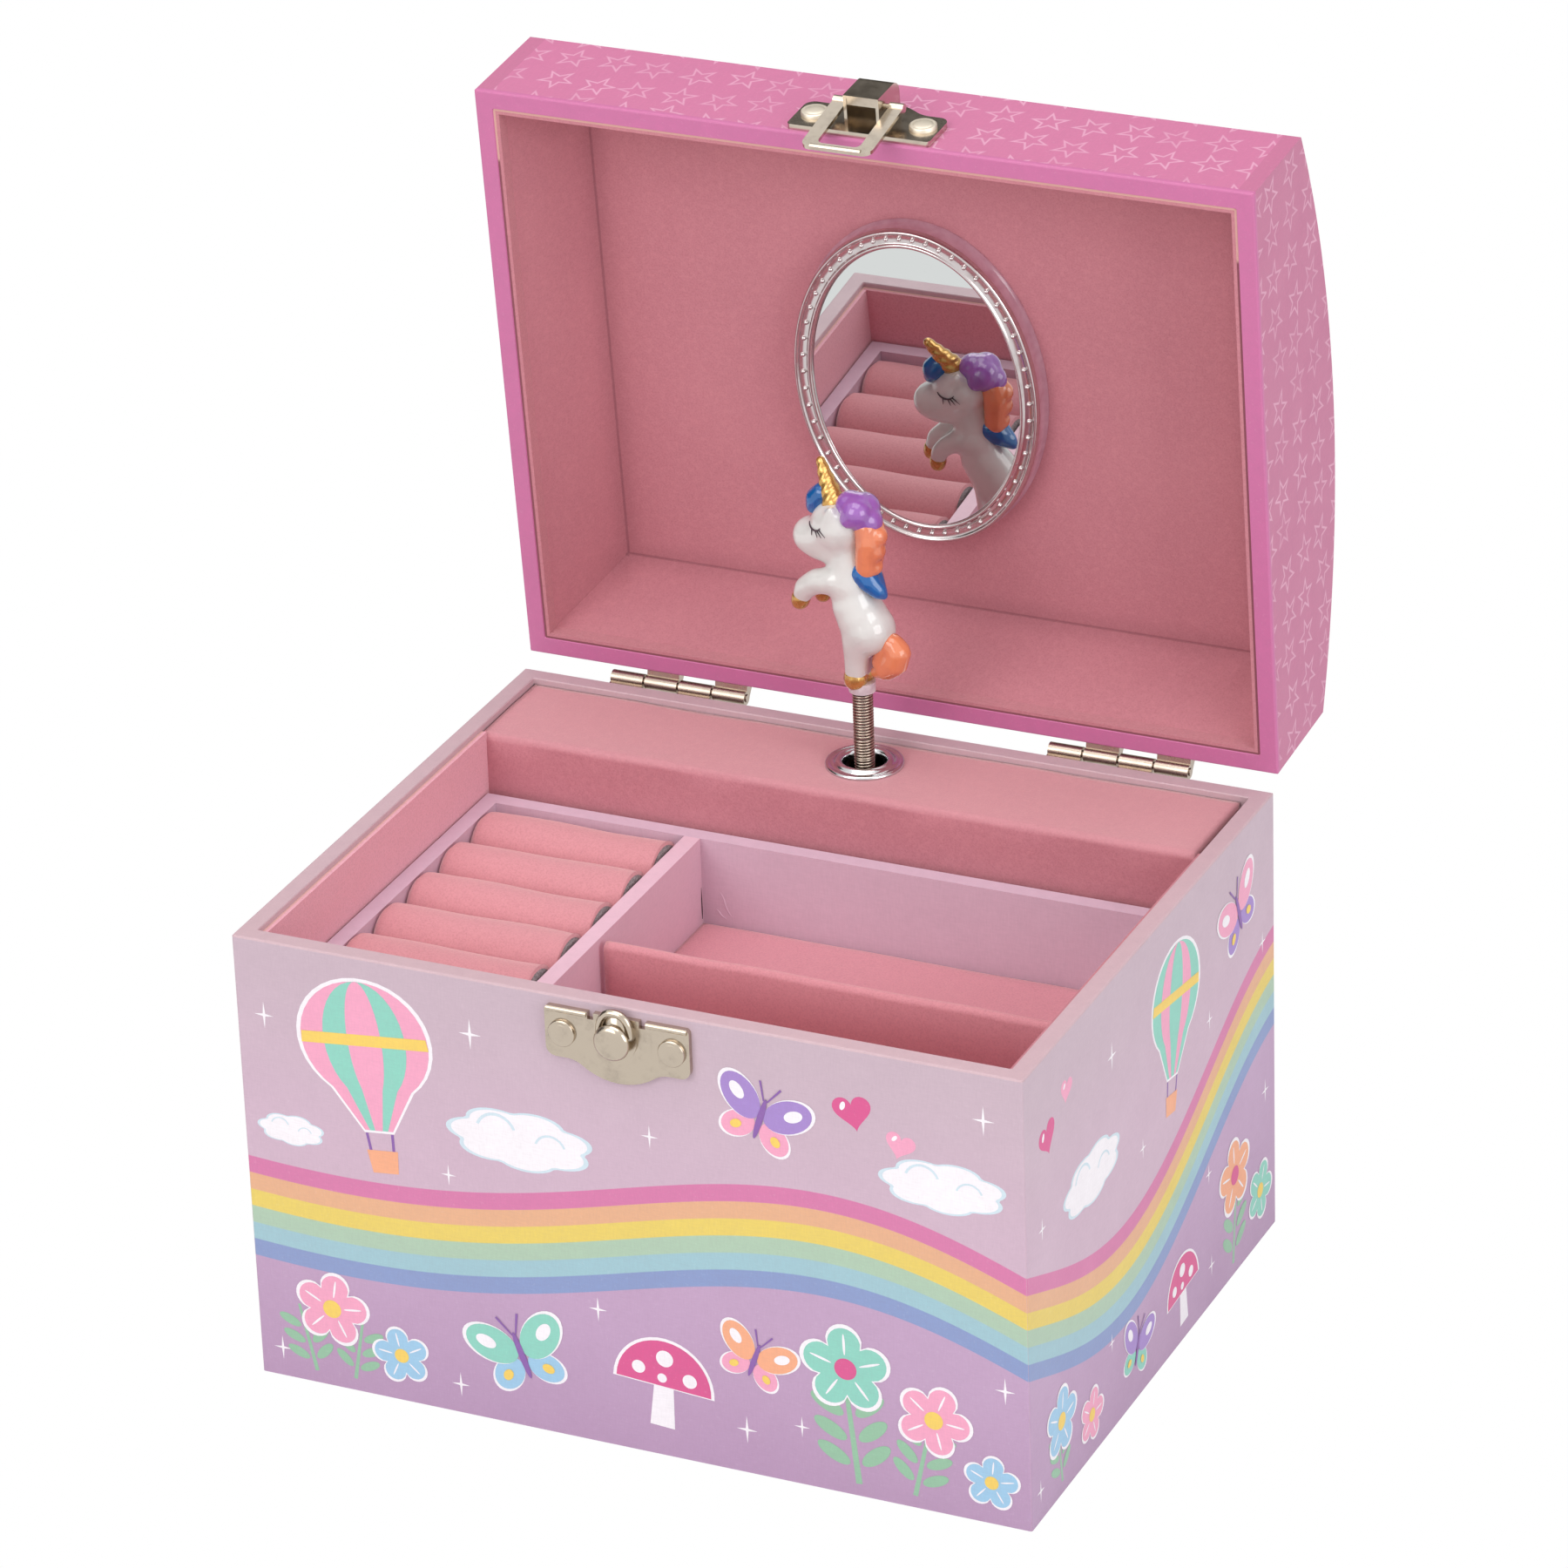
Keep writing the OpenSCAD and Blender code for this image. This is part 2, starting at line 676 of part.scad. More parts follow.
// the nails that hold the leaves, with round heads
module hinge_nails(up) {
    hinge_nail_shanks(up);
    for (hinge = [-1, 1]) for (side = [-1, 1])
        translate([hinge * hinge_x + side * hinge_l / 3.2, back_y + leaf_t, leaf_nail_z(up)])
            rotate([-90, 0, 0]) cylinder(h = 0.6, r1 = nail_head_r, r2 = 0.6 * nail_head_r);
}

module hinge_case_leaves() {
    color(nickel) for (side = [-1, 1]) translate([side * hinge_x, 0, 0]) hinge_leaf(0, -1);
}

module hinge_lid_leaves() {
    color(nickel) on_lid() for (side = [-1, 1]) translate([side * hinge_x, 0, 0]) hinge_leaf(1, 1);
}

module hinge_case_nails() {
    color(nickel) hinge_nails(-1);
}

module hinge_lid_nails() {
    color(nickel) on_lid() hinge_nails(1);
}

module hinge_pins() {
    color(steel) for (side = [-1, 1])
        rod_x(side * hinge_x - hinge_l / 2, side * hinge_x + hinge_l / 2, hinge_y, hinge_z, hinge_pin_r);
}

// ---------------------------------------------------------------- lid

// the arched outline of the lid's end, rim to top
module arch_area(half_d, low) {
    intersection() {
        translate([-half_d, low]) square([2 * half_d, lid_side_h + lid_rise + 1]);
        translate([0, arch_z]) circle(arch_r, $fn = 180);
    }
}

module lid_end() {
    slab_x(-box_w / 2, -in_x) arch_area(back_y, rim_z);
}

module lid_left_end() {
    color(lid_paper) on_lid() lid_end();
}

module lid_right_end() {
    color(lid_paper) on_lid() mirror([1, 0, 0]) lid_end();
}

module lid_front_board() {
    color(lid_paper) on_lid() difference() {
        slab_x(-in_x, in_x) intersection() {
            arch_area(back_y, rim_z);
            translate([front_y, rim_z]) square([board, lid_side_h + lid_rise]);
        }
        for (side = [-1, 1])
            rod_y(side * rivet_x, front_y - 1, front_y + rivet_shank_l, catch_rivet_z, rivet_shank_r);
    }
}

module lid_back_board() {
    color(lid_paper) on_lid() difference() {
        slab_x(-in_x, in_x) intersection() {
            arch_area(back_y, rim_z);
            translate([in_y, rim_z]) square([board, lid_side_h + lid_rise]);
        }
        hinge_nail_shanks(1);
    }
}

module lid_top() {
    color(lid_paper) on_lid() slab_x(-in_x, in_x) difference() {
        arch_area(in_y, rim_z + lid_side_h / 2);
        translate([0, arch_z]) circle(arch_r - lid_top_t, $fn = 180);
    }
}

// one leaning card of the lid's lining, as the one across the front, for a
// lid whose inside measures 2 * along by 2 * across
module lining_card(along, across) {
    lean = lining_lean;
    rings = [ // height, inset of the outer face, inset of the inner face
        [rim_z + 0.1, 0, card],
        [rim_z + lining_foot, 0, card],
        [ceiling_z, lean, lean + card]];
    points = [for (r = rings) each [
        [-along + r[1], -across + r[1], r[0]], [along - r[1], -across + r[1], r[0]],
        [along - r[2], -across + r[2], r[0]], [-along + r[2], -across + r[2], r[0]]]];
    sides = [for (k = [0, 1]) for (j = [0 : 3])
        [4 * k + j, 4 * k + (j + 1) % 4, 4 * k + 4 + (j + 1) % 4, 4 * k + 4 + j]];
    polyhedron(points, concat([[3, 2, 1, 0], [8, 9, 10, 11]], [for (s = sides) [s[3], s[2], s[1], s[0]]]));
}

module lid_lining() {
    color(velour) on_lid() for (turn = [0, 180]) rotate(turn) {
        lining_card(in_x, in_y);
        rotate(90) lining_card(in_y, in_x);
    }
}

module lid_ceiling() {
    x = in_x - lining_lean;
    y = in_y - lining_lean;
    color(velour) on_lid() block([-x, -y, ceiling_z], [x, y, ceiling_z + card]);
}

// an oval as long as l along Y and as wide as w
function oval(w, l) = [for (a = [0 : 4 : 356]) [w / 2 * cos(a), l / 2 * sin(a)]];

module oval_ring(w, l, ring, low, high) {
    translate([0, 0, low]) linear_extrude(high - low) difference() {
        polygon(oval(w, l));
        polygon(oval(w - 2 * ring, l - 2 * ring));
    }
}

module mirror_glass() {
    glass_w = mirror_w - 1.2 * mirror_ring;
    glass_l = mirror_l - 1.2 * mirror_ring;
    color("aliceblue") on_lid() translate([0, 0, glass_z])
        linear_extrude(glass_t) polygon(oval(glass_w, glass_l));
}

// a plated ring with a raised rim on each side of its beaded channel
module mirror_frame() {
    rim = 0.22 * mirror_ring;
    front = ceiling_z - mirror_frame_t;
    seat = 0.6 * mirror_ring;
    color(nickel) on_lid() {
        oval_ring(mirror_w, mirror_l, seat, front + mirror_channel, ceiling_z);
        oval_ring(mirror_w - 2 * seat + 2 * seam, mirror_l - 2 * seat + 2 * seam,
            mirror_ring - seat + seam, front + mirror_channel, glass_z);
        oval_ring(mirror_w, mirror_l, rim, front, front + mirror_channel + seam);
        oval_ring(mirror_w - 2 * mirror_ring + 2 * rim, mirror_l - 2 * mirror_ring + 2 * rim,
            rim, front, front + mirror_channel + seam);
    }
}

// ---------------------------------------------------------------- tray

module tray() {
    color(case_paper) difference() {
        block([-tray_x, tray_front, tray_z], [tray_x, tray_back, tray_top]);
        block([-tray_in_x, tray_in_front, tray_floor_z], [tray_in_x, tray_in_back, tray_top + 1]);
    }
}

module tray_partition() {
    color(case_paper) block([partition_x, tray_in_front, tray_floor_z],
        [pad_x, tray_in_back, tray_top]);
}

// velour-covered foam rolls, round on top and flat-sided below
module ring_rolls() {
    crown_z = tray_top + roll_over - roll_r;
    color(velour) for (k = [0 : roll_count - 1])
        slab_x(-tray_in_x + roll_gap, partition_x - roll_gap)
            translate([tray_in_front + (k + 0.5) * roll_pitch, 0]) {
                translate([0, crown_z]) circle(roll_r);
                translate([-roll_r, tray_floor_z]) square([2 * roll_r, crown_z - tray_floor_z]);
            }
}

module compartment_pad() {
    color(velour) block([pad_x, tray_in_front, tray_floor_z],
        [tray_in_x, tray_in_back, tray_floor_z + pad_t]);
}

module tray_divider() {
    color(velour) block(
        [pad_x + divider_gap, divider_y - divider_t / 2, tray_floor_z + pad_t],
        [tray_in_x - divider_gap, divider_y + divider_t / 2, tray_top - 0.4]);
}

// ---------------------------------------------------------------- movement

// a point at a radius and an angle
function polar(r, a) = [r * cos(a), r * sin(a)];

// outline of a gear with n trapezoid teeth, the first at angle turn
function gear_points(n, module_mm, turn = 0) =
    let (pitch = 360 / n, r = module_mm * n / 2, root = r - module_mm, tip = r + 0.7 * module_mm)
    [for (i = [0 : n - 1]) let (a = turn + i * pitch) each
        [polar(root, a - 0.26 * pitch), polar(tip, a - 0.11 * pitch),
         polar(tip, a + 0.11 * pitch), polar(root, a + 0.26 * pitch)]];

module gear(n, module_mm, thickness, bore, turn = 0) {
    linear_extrude(thickness) difference() {
        polygon(gear_points(n, module_mm, turn));
        circle(bore);
    }
}

// a plate on the back wall, with two bent lugs that carry the arbors
module bedplate() {
    lug_y0 = bed_y - lug_reach;
    color(brass) difference() {
        union() {
            block([bed_x0, bed_y, bed_z0], [bed_x1, in_y, bed_z1]);
            for (z = [lower_lug_z, upper_lug_z])
                block([lug_x0, lug_y0, z], [lug_x1, bed_y + seam, z + lug_t]);
        }
        for (hole = [[0, arbor_r], [governor_x, governor_arbor_r], [fly_x, governor_arbor_r]])
            translate([hole[0], spindle_y, lower_lug_z - 1])
                cylinder(h = upper_lug_z - lower_lug_z + lug_t + 2, r = hole[1] + run);
        rod_y(0, bed_y - 1, in_y + 1, key_z, key_arbor_r + run);
        for (p = bed_screws)
            rod_y(p[0], bed_y - 1, in_y + 1, p[1], bed_screw_r);
    }
}

// screws from outside the back wall into the bedplate
module bedplate_screws() {
    color(nickel) for (p = bed_screws) difference() {
        union() {
            rod_y(p[0], bed_y, back_y + seam, p[1], bed_screw_r);
            translate([p[0], back_y, p[1]]) rotate([-90, 0, 0])
                cylinder(h = 1.1, r1 = 2.6, r2 = 1.7);
        }
        translate([p[0], back_y + 1.1, p[1]]) cube([4, 1.2, 0.7], center = true);
    }
}

// the drum that holds the mainspring, with three feet on posts
module spring_housing() {
    color(brass) difference() {
        union() {
            rod_y(0, housing_y0, housing_y0 + housing_l, key_z, housing_r);
            for (a = post_angles)
                translate([0, housing_y0, key_z]) rotate([0, -a, 0]) {
                    block([0, 0, -post_r - 1], [post_ring, foot_t, post_r + 1]);
                    rod_y(post_ring, 0, foot_t, 0, post_r + 1);
                }
        }
        rod_y(0, housing_y0 - 1, great_y, key_z, key_arbor_r + run);
    }
}

module housing_posts() {
    color(steel) for (a = post_angles)
        translate([0, 0, key_z]) rotate([0, -a, 0])
            rod_y(post_ring, housing_y0 + foot_t, bed_y, 0, post_r);
}

comb_z0 = drum_z - 1;
comb_z1 = drum_z + drum_l + 1;
comb_screw_zs = [for (k = [0.15, 0.5, 0.85]) comb_z0 + k * (comb_z1 - comb_z0)];

module comb_rest() {
    color(steel) difference() {
        block([comb_back_x + 0.4, spindle_y + comb_t / 2, comb_z0], [comb_x1, bed_y, comb_z1]);
        for (z = comb_screw_zs)
            rod_y(comb_screw_x, spindle_y, spindle_y + 4, z, comb_screw_r);
    }
}

// a steel plate sawn into teeth, one for each note
module comb() {
    tooth_w = 0.74 * note_pitch;
    tip_w = 0.5 * tooth_w;
    color(steel) difference() {
        union() {
            block([comb_back_x, spindle_y - comb_t / 2, comb_z0],
                [comb_x1, spindle_y + comb_t / 2, comb_z1]);
            slab_y(spindle_y - comb_t / 2, spindle_y + comb_t / 2) for (i = [0 : notes - 1])
                translate([0, drum_z + (i + 0.5) * note_pitch]) polygon([
                    [comb_back_x + seam, -tooth_w / 2], [comb_back_x + seam, tooth_w / 2],
                    [comb_tip_x + 1.5, tooth_w / 2], [comb_tip_x, tip_w / 2],
                    [comb_tip_x, -tip_w / 2], [comb_tip_x + 1.5, -tooth_w / 2]]);
        }
        for (z = comb_screw_zs)
            rod_y(comb_screw_x, spindle_y - 2, spindle_y + 2, z, comb_screw_r);
    }
}

module comb_screws() {
    color(nickel) for (z = comb_screw_zs) {
        rod_y(comb_screw_x, spindle_y - comb_t / 2 - 1.1, spindle_y - comb_t / 2, z, 1.9);
        rod_y(comb_screw_x, spindle_y - comb_t / 2 - seam, spindle_y + 4, z, comb_screw_r);
    }
}

module cylinder_arbor() {
    arbor_z0 = pinion_z - face_w / 2 - 0.6;
    arbor_top = shelf_z - cover_t - 3;
    color(steel) translate([0, spindle_y, arbor_z0]) cylinder(h = arbor_top - arbor_z0, r = arbor_r);
}

// the brass cylinder, with a ring of pins for each note of the comb
module pinned_cylinder() {
    color(brass) translate([0, spindle_y, drum_z]) difference() {
        union() {
            cylinder(h = drum_l, r = drum_r);
            for (i = [0 : notes - 1]) for (k = [0 : pins_per_note - 1]) {
                turn = (i * 67 + k * 97 + i * k * 31) % 360;
                translate([0, 0, (i + 0.5) * note_pitch]) rotate(turn) rotate([0, 90, 0])
                    translate([0, 0, drum_r - 0.5]) cylinder(h = pin_out + 0.5, r = 0.25, $fn = 6);
            }
        }
        translate([0, 0, -1]) cylinder(h = drum_l + 2, r = arbor_r);
    }
}

module cylinder_pinion() {
    color(brass) translate([0, spindle_y, pinion_z - face_w / 2])
        gear(pinion_teeth, drive_module, face_w, arbor_r);
}

module cylinder_wheel() {
    color(brass) translate([0, spindle_y, wheel_z])
        gear(cylinder_teeth, train_module, wheel_t, arbor_r);
}

// the great wheel: a crown gear that runs free on the winding arbor
module great_wheel() {
    pitch = 360 / great_teeth;
    tooth_w = 0.3 * 3.1416 * drive_module;
    color(brass) difference() {
        union() {
            rod_y(0, great_y, great_y + great_t, key_z, great_r);
            for (i = [0 : great_teeth - 1])
                translate([0, great_y, key_z]) rotate([0, (i + 0.5) * pitch, 0])
                    block([-tooth_w / 2, -great_tooth_h, great_pitch_r - face_w / 2],
                        [tooth_w / 2, seam, great_pitch_r + face_w / 2 - 0.1]);
        }
        rod_y(0, great_y - 1, great_y + great_t + 1, key_z, key_arbor_r + run);
    }
}

module governor_wheel() {
    color(brass) translate([governor_x, spindle_y, 0]) {
        translate([0, 0, lower_lug_z])
            cylinder(h = upper_lug_z + lug_t - lower_lug_z, r = governor_arbor_r);
        translate([0, 0, governor_z]) gear(governor_teeth, train_module, governor_t, governor_arbor_r - seam);
        translate([0, 0, wheel_z])
            gear(small_teeth, train_module, wheel_t + 0.2, governor_arbor_r - seam, 180 / small_teeth);
    }
}

// the fly: two blades that brake against the air
module governor_fly() {
    blade_z0 = lower_lug_z + lug_t + 2;
    blade_z1 = wheel_z - 1;
    blade_t = 0.5;
    color(steel) translate([fly_x, spindle_y, 0]) {
        translate([0, 0, lower_lug_z])
            cylinder(h = upper_lug_z + lug_t - lower_lug_z, r = governor_arbor_r);
        translate([0, 0, governor_z - 0.2])
            gear(small_teeth, train_module, governor_t + 0.4, governor_arbor_r - seam, 180 / small_teeth);
        block([-fly_r, -blade_t / 2, blade_z0], [fly_r, blade_t / 2, blade_z1]);
    }
}

module key_arbor() {
    color(steel) rod_y(0, housing_y0 - 1, back_y + key_stem_l() - 2, key_z, key_arbor_r);
}

function key_stem_l() = key_l - key_bow_l();
function key_bow_l() = 0.55 * key_l;

// a winding key with a two-winged bow
module winding_key() {
    hub_r = key_arbor_r + 1.4;
    wing_r = 0.24 * key_w;
    bow_t = 2.2;
    stand_off = 1;
    bow_y = back_y + key_stem_l();
    color(brass) difference() {
        union() {
            rod_y(0, back_y + stand_off, bow_y + 0.5 * key_bow_l(), key_z, hub_r);
            translate([0, bow_y + wing_r, key_z - bow_t / 2]) linear_extrude(bow_t)
                for (side = [-1, 1]) {
                    translate([side * (key_w / 2 - wing_r), 0]) difference() {
                        circle(wing_r);
                        circle(0.42 * wing_r);
                    }
                    translate([side * (hub_r / 2 + 0.6), 0]) square([hub_r + 1.2, 1.3 * wing_r], center = true);
                }
        }
        rod_y(0, back_y, back_y + key_stem_l() - 2, key_z, key_arbor_r);
    }
}

// ---------------------------------------------------------------- spring and figurine

// a stretch of close-wound spring, ribbed like its turns
module coil(z0, z1) {
    turns = max(2, round((z1 - z0) / coil_wire));
    rise = (z1 - z0) / turns;
    groove = 0.25 * coil_wire;
    outside = [for (i = [0 : turns - 1]) each
        [[coil_r - groove, z0 + i * rise], [coil_r, z0 + (i + 0.5) * rise]]];
    translate([0, spindle_y, 0]) rotate_extrude()
        polygon(concat([[coil_in_r, z0]], outside, [[coil_r - groove, z1], [coil_in_r, z1]]));
}

module spring_root() {
    color(nickel) coil(root_z, root_top);
}

module spring_bend() {
    color(nickel) coil(bend_z - bend_l / 2, bend_z + bend_l / 2);
}

module spring_upper() {
    color(nickel) coil(upper_z, peg_z);
}

module figure_peg() {
    color("whitesmoke") translate([0, spindle_y, 0]) {
        translate([0, 0, peg_z]) cylinder(h = peg_t, r = coil_r + 0.55);
        translate([0, 0, upper_z + 1]) cylinder(h = peg_z - upper_z - 1 + seam, r = coil_in_r);
    }
}

// a ball on the figurine: forward of the spindle, to its left, and above its feet
module ball(forward, left, up, r) {
    translate([-forward, -left, up]) sphere(r, $fn = 16);
}

// a limb between two balls, each given as [forward, left, up, r]
module limb(a, b) {
    hull() {
        ball(a[0], a[1], a[2], a[3]);
        ball(b[0], b[1], b[2], b[3]);
    }
}

// a unicorn rearing on its hind legs, moulded in one piece
module figure() {
    chest = [2.0, 0, 19.6, 4.5];
    rump = [-1.8, 0, 11, 5.3];
    neck = [2.6, 0, 26.5, 3.7];
    head = [4.3, 0, 31.0, 5.5];
    muzzle = [9.0, 0, 28.3, 4.2];
    drawn_h = 44;
    horn_base = [5.0, 0, 35.4];
    horn_lean = 17;
    horn_l = 8.8;
    color("white") translate([0, spindle_y, shelf_z + figure_foot]) rotate(figure_turn)
    scale(figure_h / drawn_h) {
        limb(chest, rump);
        limb(chest, neck);
        limb(neck, head);
        limb(head, muzzle);
        translate([-horn_base[0], 0, horn_base[2]]) rotate([0, -horn_lean, 0])
            cylinder(h = horn_l, r1 = 2.1, r2 = 0.7, $fn = 20);
        limb([8.2, 0, 36.0, 2.2], [9.5, 0, 33.8, 1.6]);
        hull() {
            ball(-0.2, 1.6, 35.8, 3.7);
            ball(-0.2, -1.6, 35.8, 3.7);
            ball(-2.8, 0, 33.6, 3.5);
        }
        limb([-2.9, 0, 30.0, 3.3], [-2.4, 0, 25.0, 2.7]);
        limb([-1.8, 0, 23.6, 2.7], [-5.0, 0, 20.0, 1.2]);
        for (side = [-1, 1]) {
            limb([3.4, side * 3.6, 35.2, 1.2], [3.0, side * 4.3, 36.9, 0.5]);
            limb([-0.8, side * 1.9, 9.6, 3.6], [0.1, side * 1.3, 2.4, 1.9]);
            limb([3.8, side * 2.0, 20.8, 2.5], [8.2, side * 2.3, 19.9, 2.1]);
            limb([8.2, side * 2.3, 19.9, 2.1], [11.3, side * 2.2, 15.8, 1.8]);
            translate([-0.1, -side * 1.3, 0]) cylinder(h = 1.9, r1 = 2.2, r2 = 1.9, $fn = 24);
        }
        limb([-5.4, 0, 9.2, 1.9], [-8.1, 0, 7.4, 2.6]);
        limb([-8.1, 0, 7.4, 2.6], [-7.0, 0, 4.9, 2.5]);
        limb([-7.0, 0, 4.9, 2.5], [-3.4, 0, 2.6, 1.3]);
    }
}

bottom_panel();
front_wall();
back_wall();
left_wall();
right_wall();
front_lining();
left_lining();
right_lining();
tray_supports();
cover_front();
cover_top();
eyelet();
latch_plate();
latch_knob();
latch_rivets();
hinge_case_leaves();
hinge_case_nails();
hinge_pins();
bedplate();
bedplate_screws();
spring_housing();
housing_posts();
comb_rest();
comb();
comb_screws();
lid_top();
lid_front_board();
lid_back_board();
lid_left_end();
lid_right_end();
lid_lining();
lid_ceiling();
mirror_glass();
mirror_frame();
catch_plate();
catch_housing();
catch_rivets();
hinge_lid_leaves();
hinge_lid_nails();
hasp();
tray();
tray_partition();
ring_rolls();
compartment_pad();
tray_divider();
spring_bend();
spring_upper();
figure();
figure_peg();
cylinder_arbor();
pinned_cylinder();
cylinder_pinion();
cylinder_wheel();
spring_root();
great_wheel();
governor_wheel();
governor_fly();
key_arbor();
winding_key();
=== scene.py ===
"""A musical jewellery box, dressed: papered boards, velour linings, plated fittings, an oval
mirror and a glossy unicorn on its spring. Lengths are in metres unless a name says mm."""

import json
import math

import bmesh
import bpy
from mathutils import Matrix, Vector


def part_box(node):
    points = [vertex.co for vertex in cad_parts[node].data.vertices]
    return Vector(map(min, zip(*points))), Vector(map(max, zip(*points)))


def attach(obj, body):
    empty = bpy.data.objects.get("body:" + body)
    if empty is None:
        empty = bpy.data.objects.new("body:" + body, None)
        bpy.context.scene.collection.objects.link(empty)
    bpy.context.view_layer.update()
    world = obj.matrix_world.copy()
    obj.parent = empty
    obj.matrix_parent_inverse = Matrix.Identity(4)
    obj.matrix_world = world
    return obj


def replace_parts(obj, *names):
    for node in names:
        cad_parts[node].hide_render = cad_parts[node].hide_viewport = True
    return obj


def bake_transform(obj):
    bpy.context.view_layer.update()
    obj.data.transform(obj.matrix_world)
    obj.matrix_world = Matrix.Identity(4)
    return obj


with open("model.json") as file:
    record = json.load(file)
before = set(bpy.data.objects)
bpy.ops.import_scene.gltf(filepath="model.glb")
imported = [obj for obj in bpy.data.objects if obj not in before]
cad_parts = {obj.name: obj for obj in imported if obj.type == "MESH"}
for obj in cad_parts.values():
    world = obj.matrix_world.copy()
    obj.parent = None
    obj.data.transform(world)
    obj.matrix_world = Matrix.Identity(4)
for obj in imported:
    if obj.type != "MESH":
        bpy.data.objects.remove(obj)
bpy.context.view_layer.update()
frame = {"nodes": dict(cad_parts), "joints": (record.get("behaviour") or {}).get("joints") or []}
nodes = frame["nodes"]
joints = {joint["name"]: joint for joint in frame["joints"]}

MM = 0.001
LID_OPEN = 84.87  # degrees from shut

# ------------------------------------------------------------- places in the frame

CASE_LOW = Vector((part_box("left_wall")[0].x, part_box("front_wall")[0].y, 0))
CASE_HIGH = Vector((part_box("right_wall")[1].x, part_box("back_wall")[1].y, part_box("front_wall")[1].z))
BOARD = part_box("front_wall")[1].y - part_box("front_wall")[0].y
HINGE = Vector(joints["lid_hinge"]["pos_m"])
SPINDLE_Y = joints["cylinder_spin"]["pos_m"][1]
SHELF_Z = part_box("cover_top")[1].z
LID_GAP = 0.3 * MM  # between the rims when the lid is shut
RIM_Z = CASE_HIGH.z + LID_GAP  # the shut lid's rim
OPENING = Matrix.Translation(HINGE) @ Matrix.Rotation(math.radians(-LID_OPEN), 4, "X")
OPENING = OPENING @ Matrix.Translation(-HINGE)  # from the shut lid to the open one

# ------------------------------------------------------------- colours


def ink(code):
    """A colour for a socket, from its sRGB code such as "D98CA0"."""
    parts = [int(code[i:i + 2], 16) / 255 for i in (0, 2, 4)]
    return tuple(p / 12.92 if p <= 0.04045 else ((p + 0.055) / 1.055) ** 2.4 for p in parts) + (1.0,)


UPPER_GROUND = "C5AFBB"
UPPER_BY_RIBBON = "CCB0C2"
LOWER_GROUND = "B695B6"
LOWER_BY_RIBBON = "BE9EBE"
STRIPES = ["8899C5", "9DC2CC", "ACC6AE", "E5CB65", "E2AD88", "D379A6"]  # lowest first
CASE_RIM = "CAADB4"
TRAY_PAPER = "D8BACB"
LID_GROUND = "CD779D"
LID_RIM = "CA71A0"
STAR_INK = "F3C6DC"
VELOUR = "C5818C"
ROLL_VELOUR = "D5939A"
CUT_CARD = "D9AFA0"
FOLD_SHADOW = "6B3340"

# ------------------------------------------------------------- node helpers


def put(tree, kind, settings=None, **inputs):
    """Adds a shader node, makes its settings, and sets or links its inputs. They go by name, or
    by place as i0, i1 and so on."""
    node = tree.nodes.new("ShaderNode" + kind)
    for name, value in (settings or {}).items():
        setattr(node, name, value)
    for name, value in inputs.items():
        key = int(name[1:]) if name[0] == "i" and name[1:].isdigit() else name.replace("_", " ")
        connect(tree, value, node.inputs[key])
    return node


class Number:
    """A number that a shader works out. Arithmetic with it adds nodes to its tree."""

    def __init__(self, tree, output):
        self.tree, self.output = tree, output

    def __add__(self, other):
        return maths("ADD", self, other)

    def __sub__(self, other):
        return maths("SUBTRACT", self, other)

    def __rsub__(self, other):
        return maths("SUBTRACT", other, self)

    def __mul__(self, other):
        return maths("MULTIPLY", self, other)

    def __truediv__(self, other):
        return maths("DIVIDE", self, other)

    def __abs__(self):
        return maths("ABSOLUTE", self)


def maths(operation, a, b=0.0):
    """What an operation makes of one number, or of two."""
    tree = a.tree if isinstance(a, Number) else b.tree
    return Number(tree, put(tree, "Math", {"operation": operation}, i0=a, i1=b).outputs[0])


def connect(tree, value, socket):
    """Links value to the socket if it comes from a node, or sets it."""
    if isinstance(value, Number):
        value = value.output
    if isinstance(value, bpy.types.NodeSocket):
        tree.links.new(value, socket)
    else:
        socket.default_value = value


def outputs_of(tree, node):
    """A node's outputs by name, the numbers ready for arithmetic."""
    return {socket.name: Number(tree, socket) if socket.type == "VALUE" else socket
            for socket in node.outputs}


def mixed(tree, share, a, b):
    """The colour a, turned towards b by share."""
    return put(tree, "Mix", {"data_type": "RGBA"}, i0=share, i6=a, i7=b).outputs[2]


def stepped(value, start, end):
    """0 before start, 1 past end, and smooth between them. Start may be the larger of the two."""
    step = put(value.tree, "MapRange", {"interpolation_type": "SMOOTHSTEP"},
               Value=value, From_Min=start, From_Max=end)
    return Number(value.tree, step.outputs[0])


def noise(tree, place, scale, detail, rough=0.5):
    """Cloudy noise from 0 to 1, with scale clouds for each unit of place."""
    texture = put(tree, "TexNoise", Vector=place, Scale=scale, Detail=detail, Roughness=rough)
    return Number(tree, texture.outputs[0])


def vectors(tree, operation, a, b=(0, 0, 0)):
    """What an operation makes of one vector, or of two."""
    return put(tree, "VectorMath", {"operation": operation}, i0=a, i1=b).outputs[0]


def scaled(tree, place, factors):
    return vectors(tree, "MULTIPLY", place, factors)


def place_mm(tree, on_lid=False):
    """Where a point is in the frame, in millimetres. On the lid, where it is on the shut lid."""
    place = put(tree, "TexCoord").outputs["Object"]
    if on_lid:
        from_hinge = vectors(tree, "SUBTRACT", place, tuple(HINGE))
        turned_shut = put(tree, "Mapping", {"vector_type": "POINT"}, Vector=from_hinge,
                          Rotation=(math.radians(LID_OPEN), 0, 0)).outputs[0]
        place = vectors(tree, "ADD", turned_shut, tuple(HINGE))
    return scaled(tree, place, (1 / MM, 1 / MM, 1 / MM))


def parts_of(tree, vector):
    """The three numbers of a vector."""
    return [Number(tree, part) for part in put(tree, "SeparateXYZ", Vector=vector).outputs]


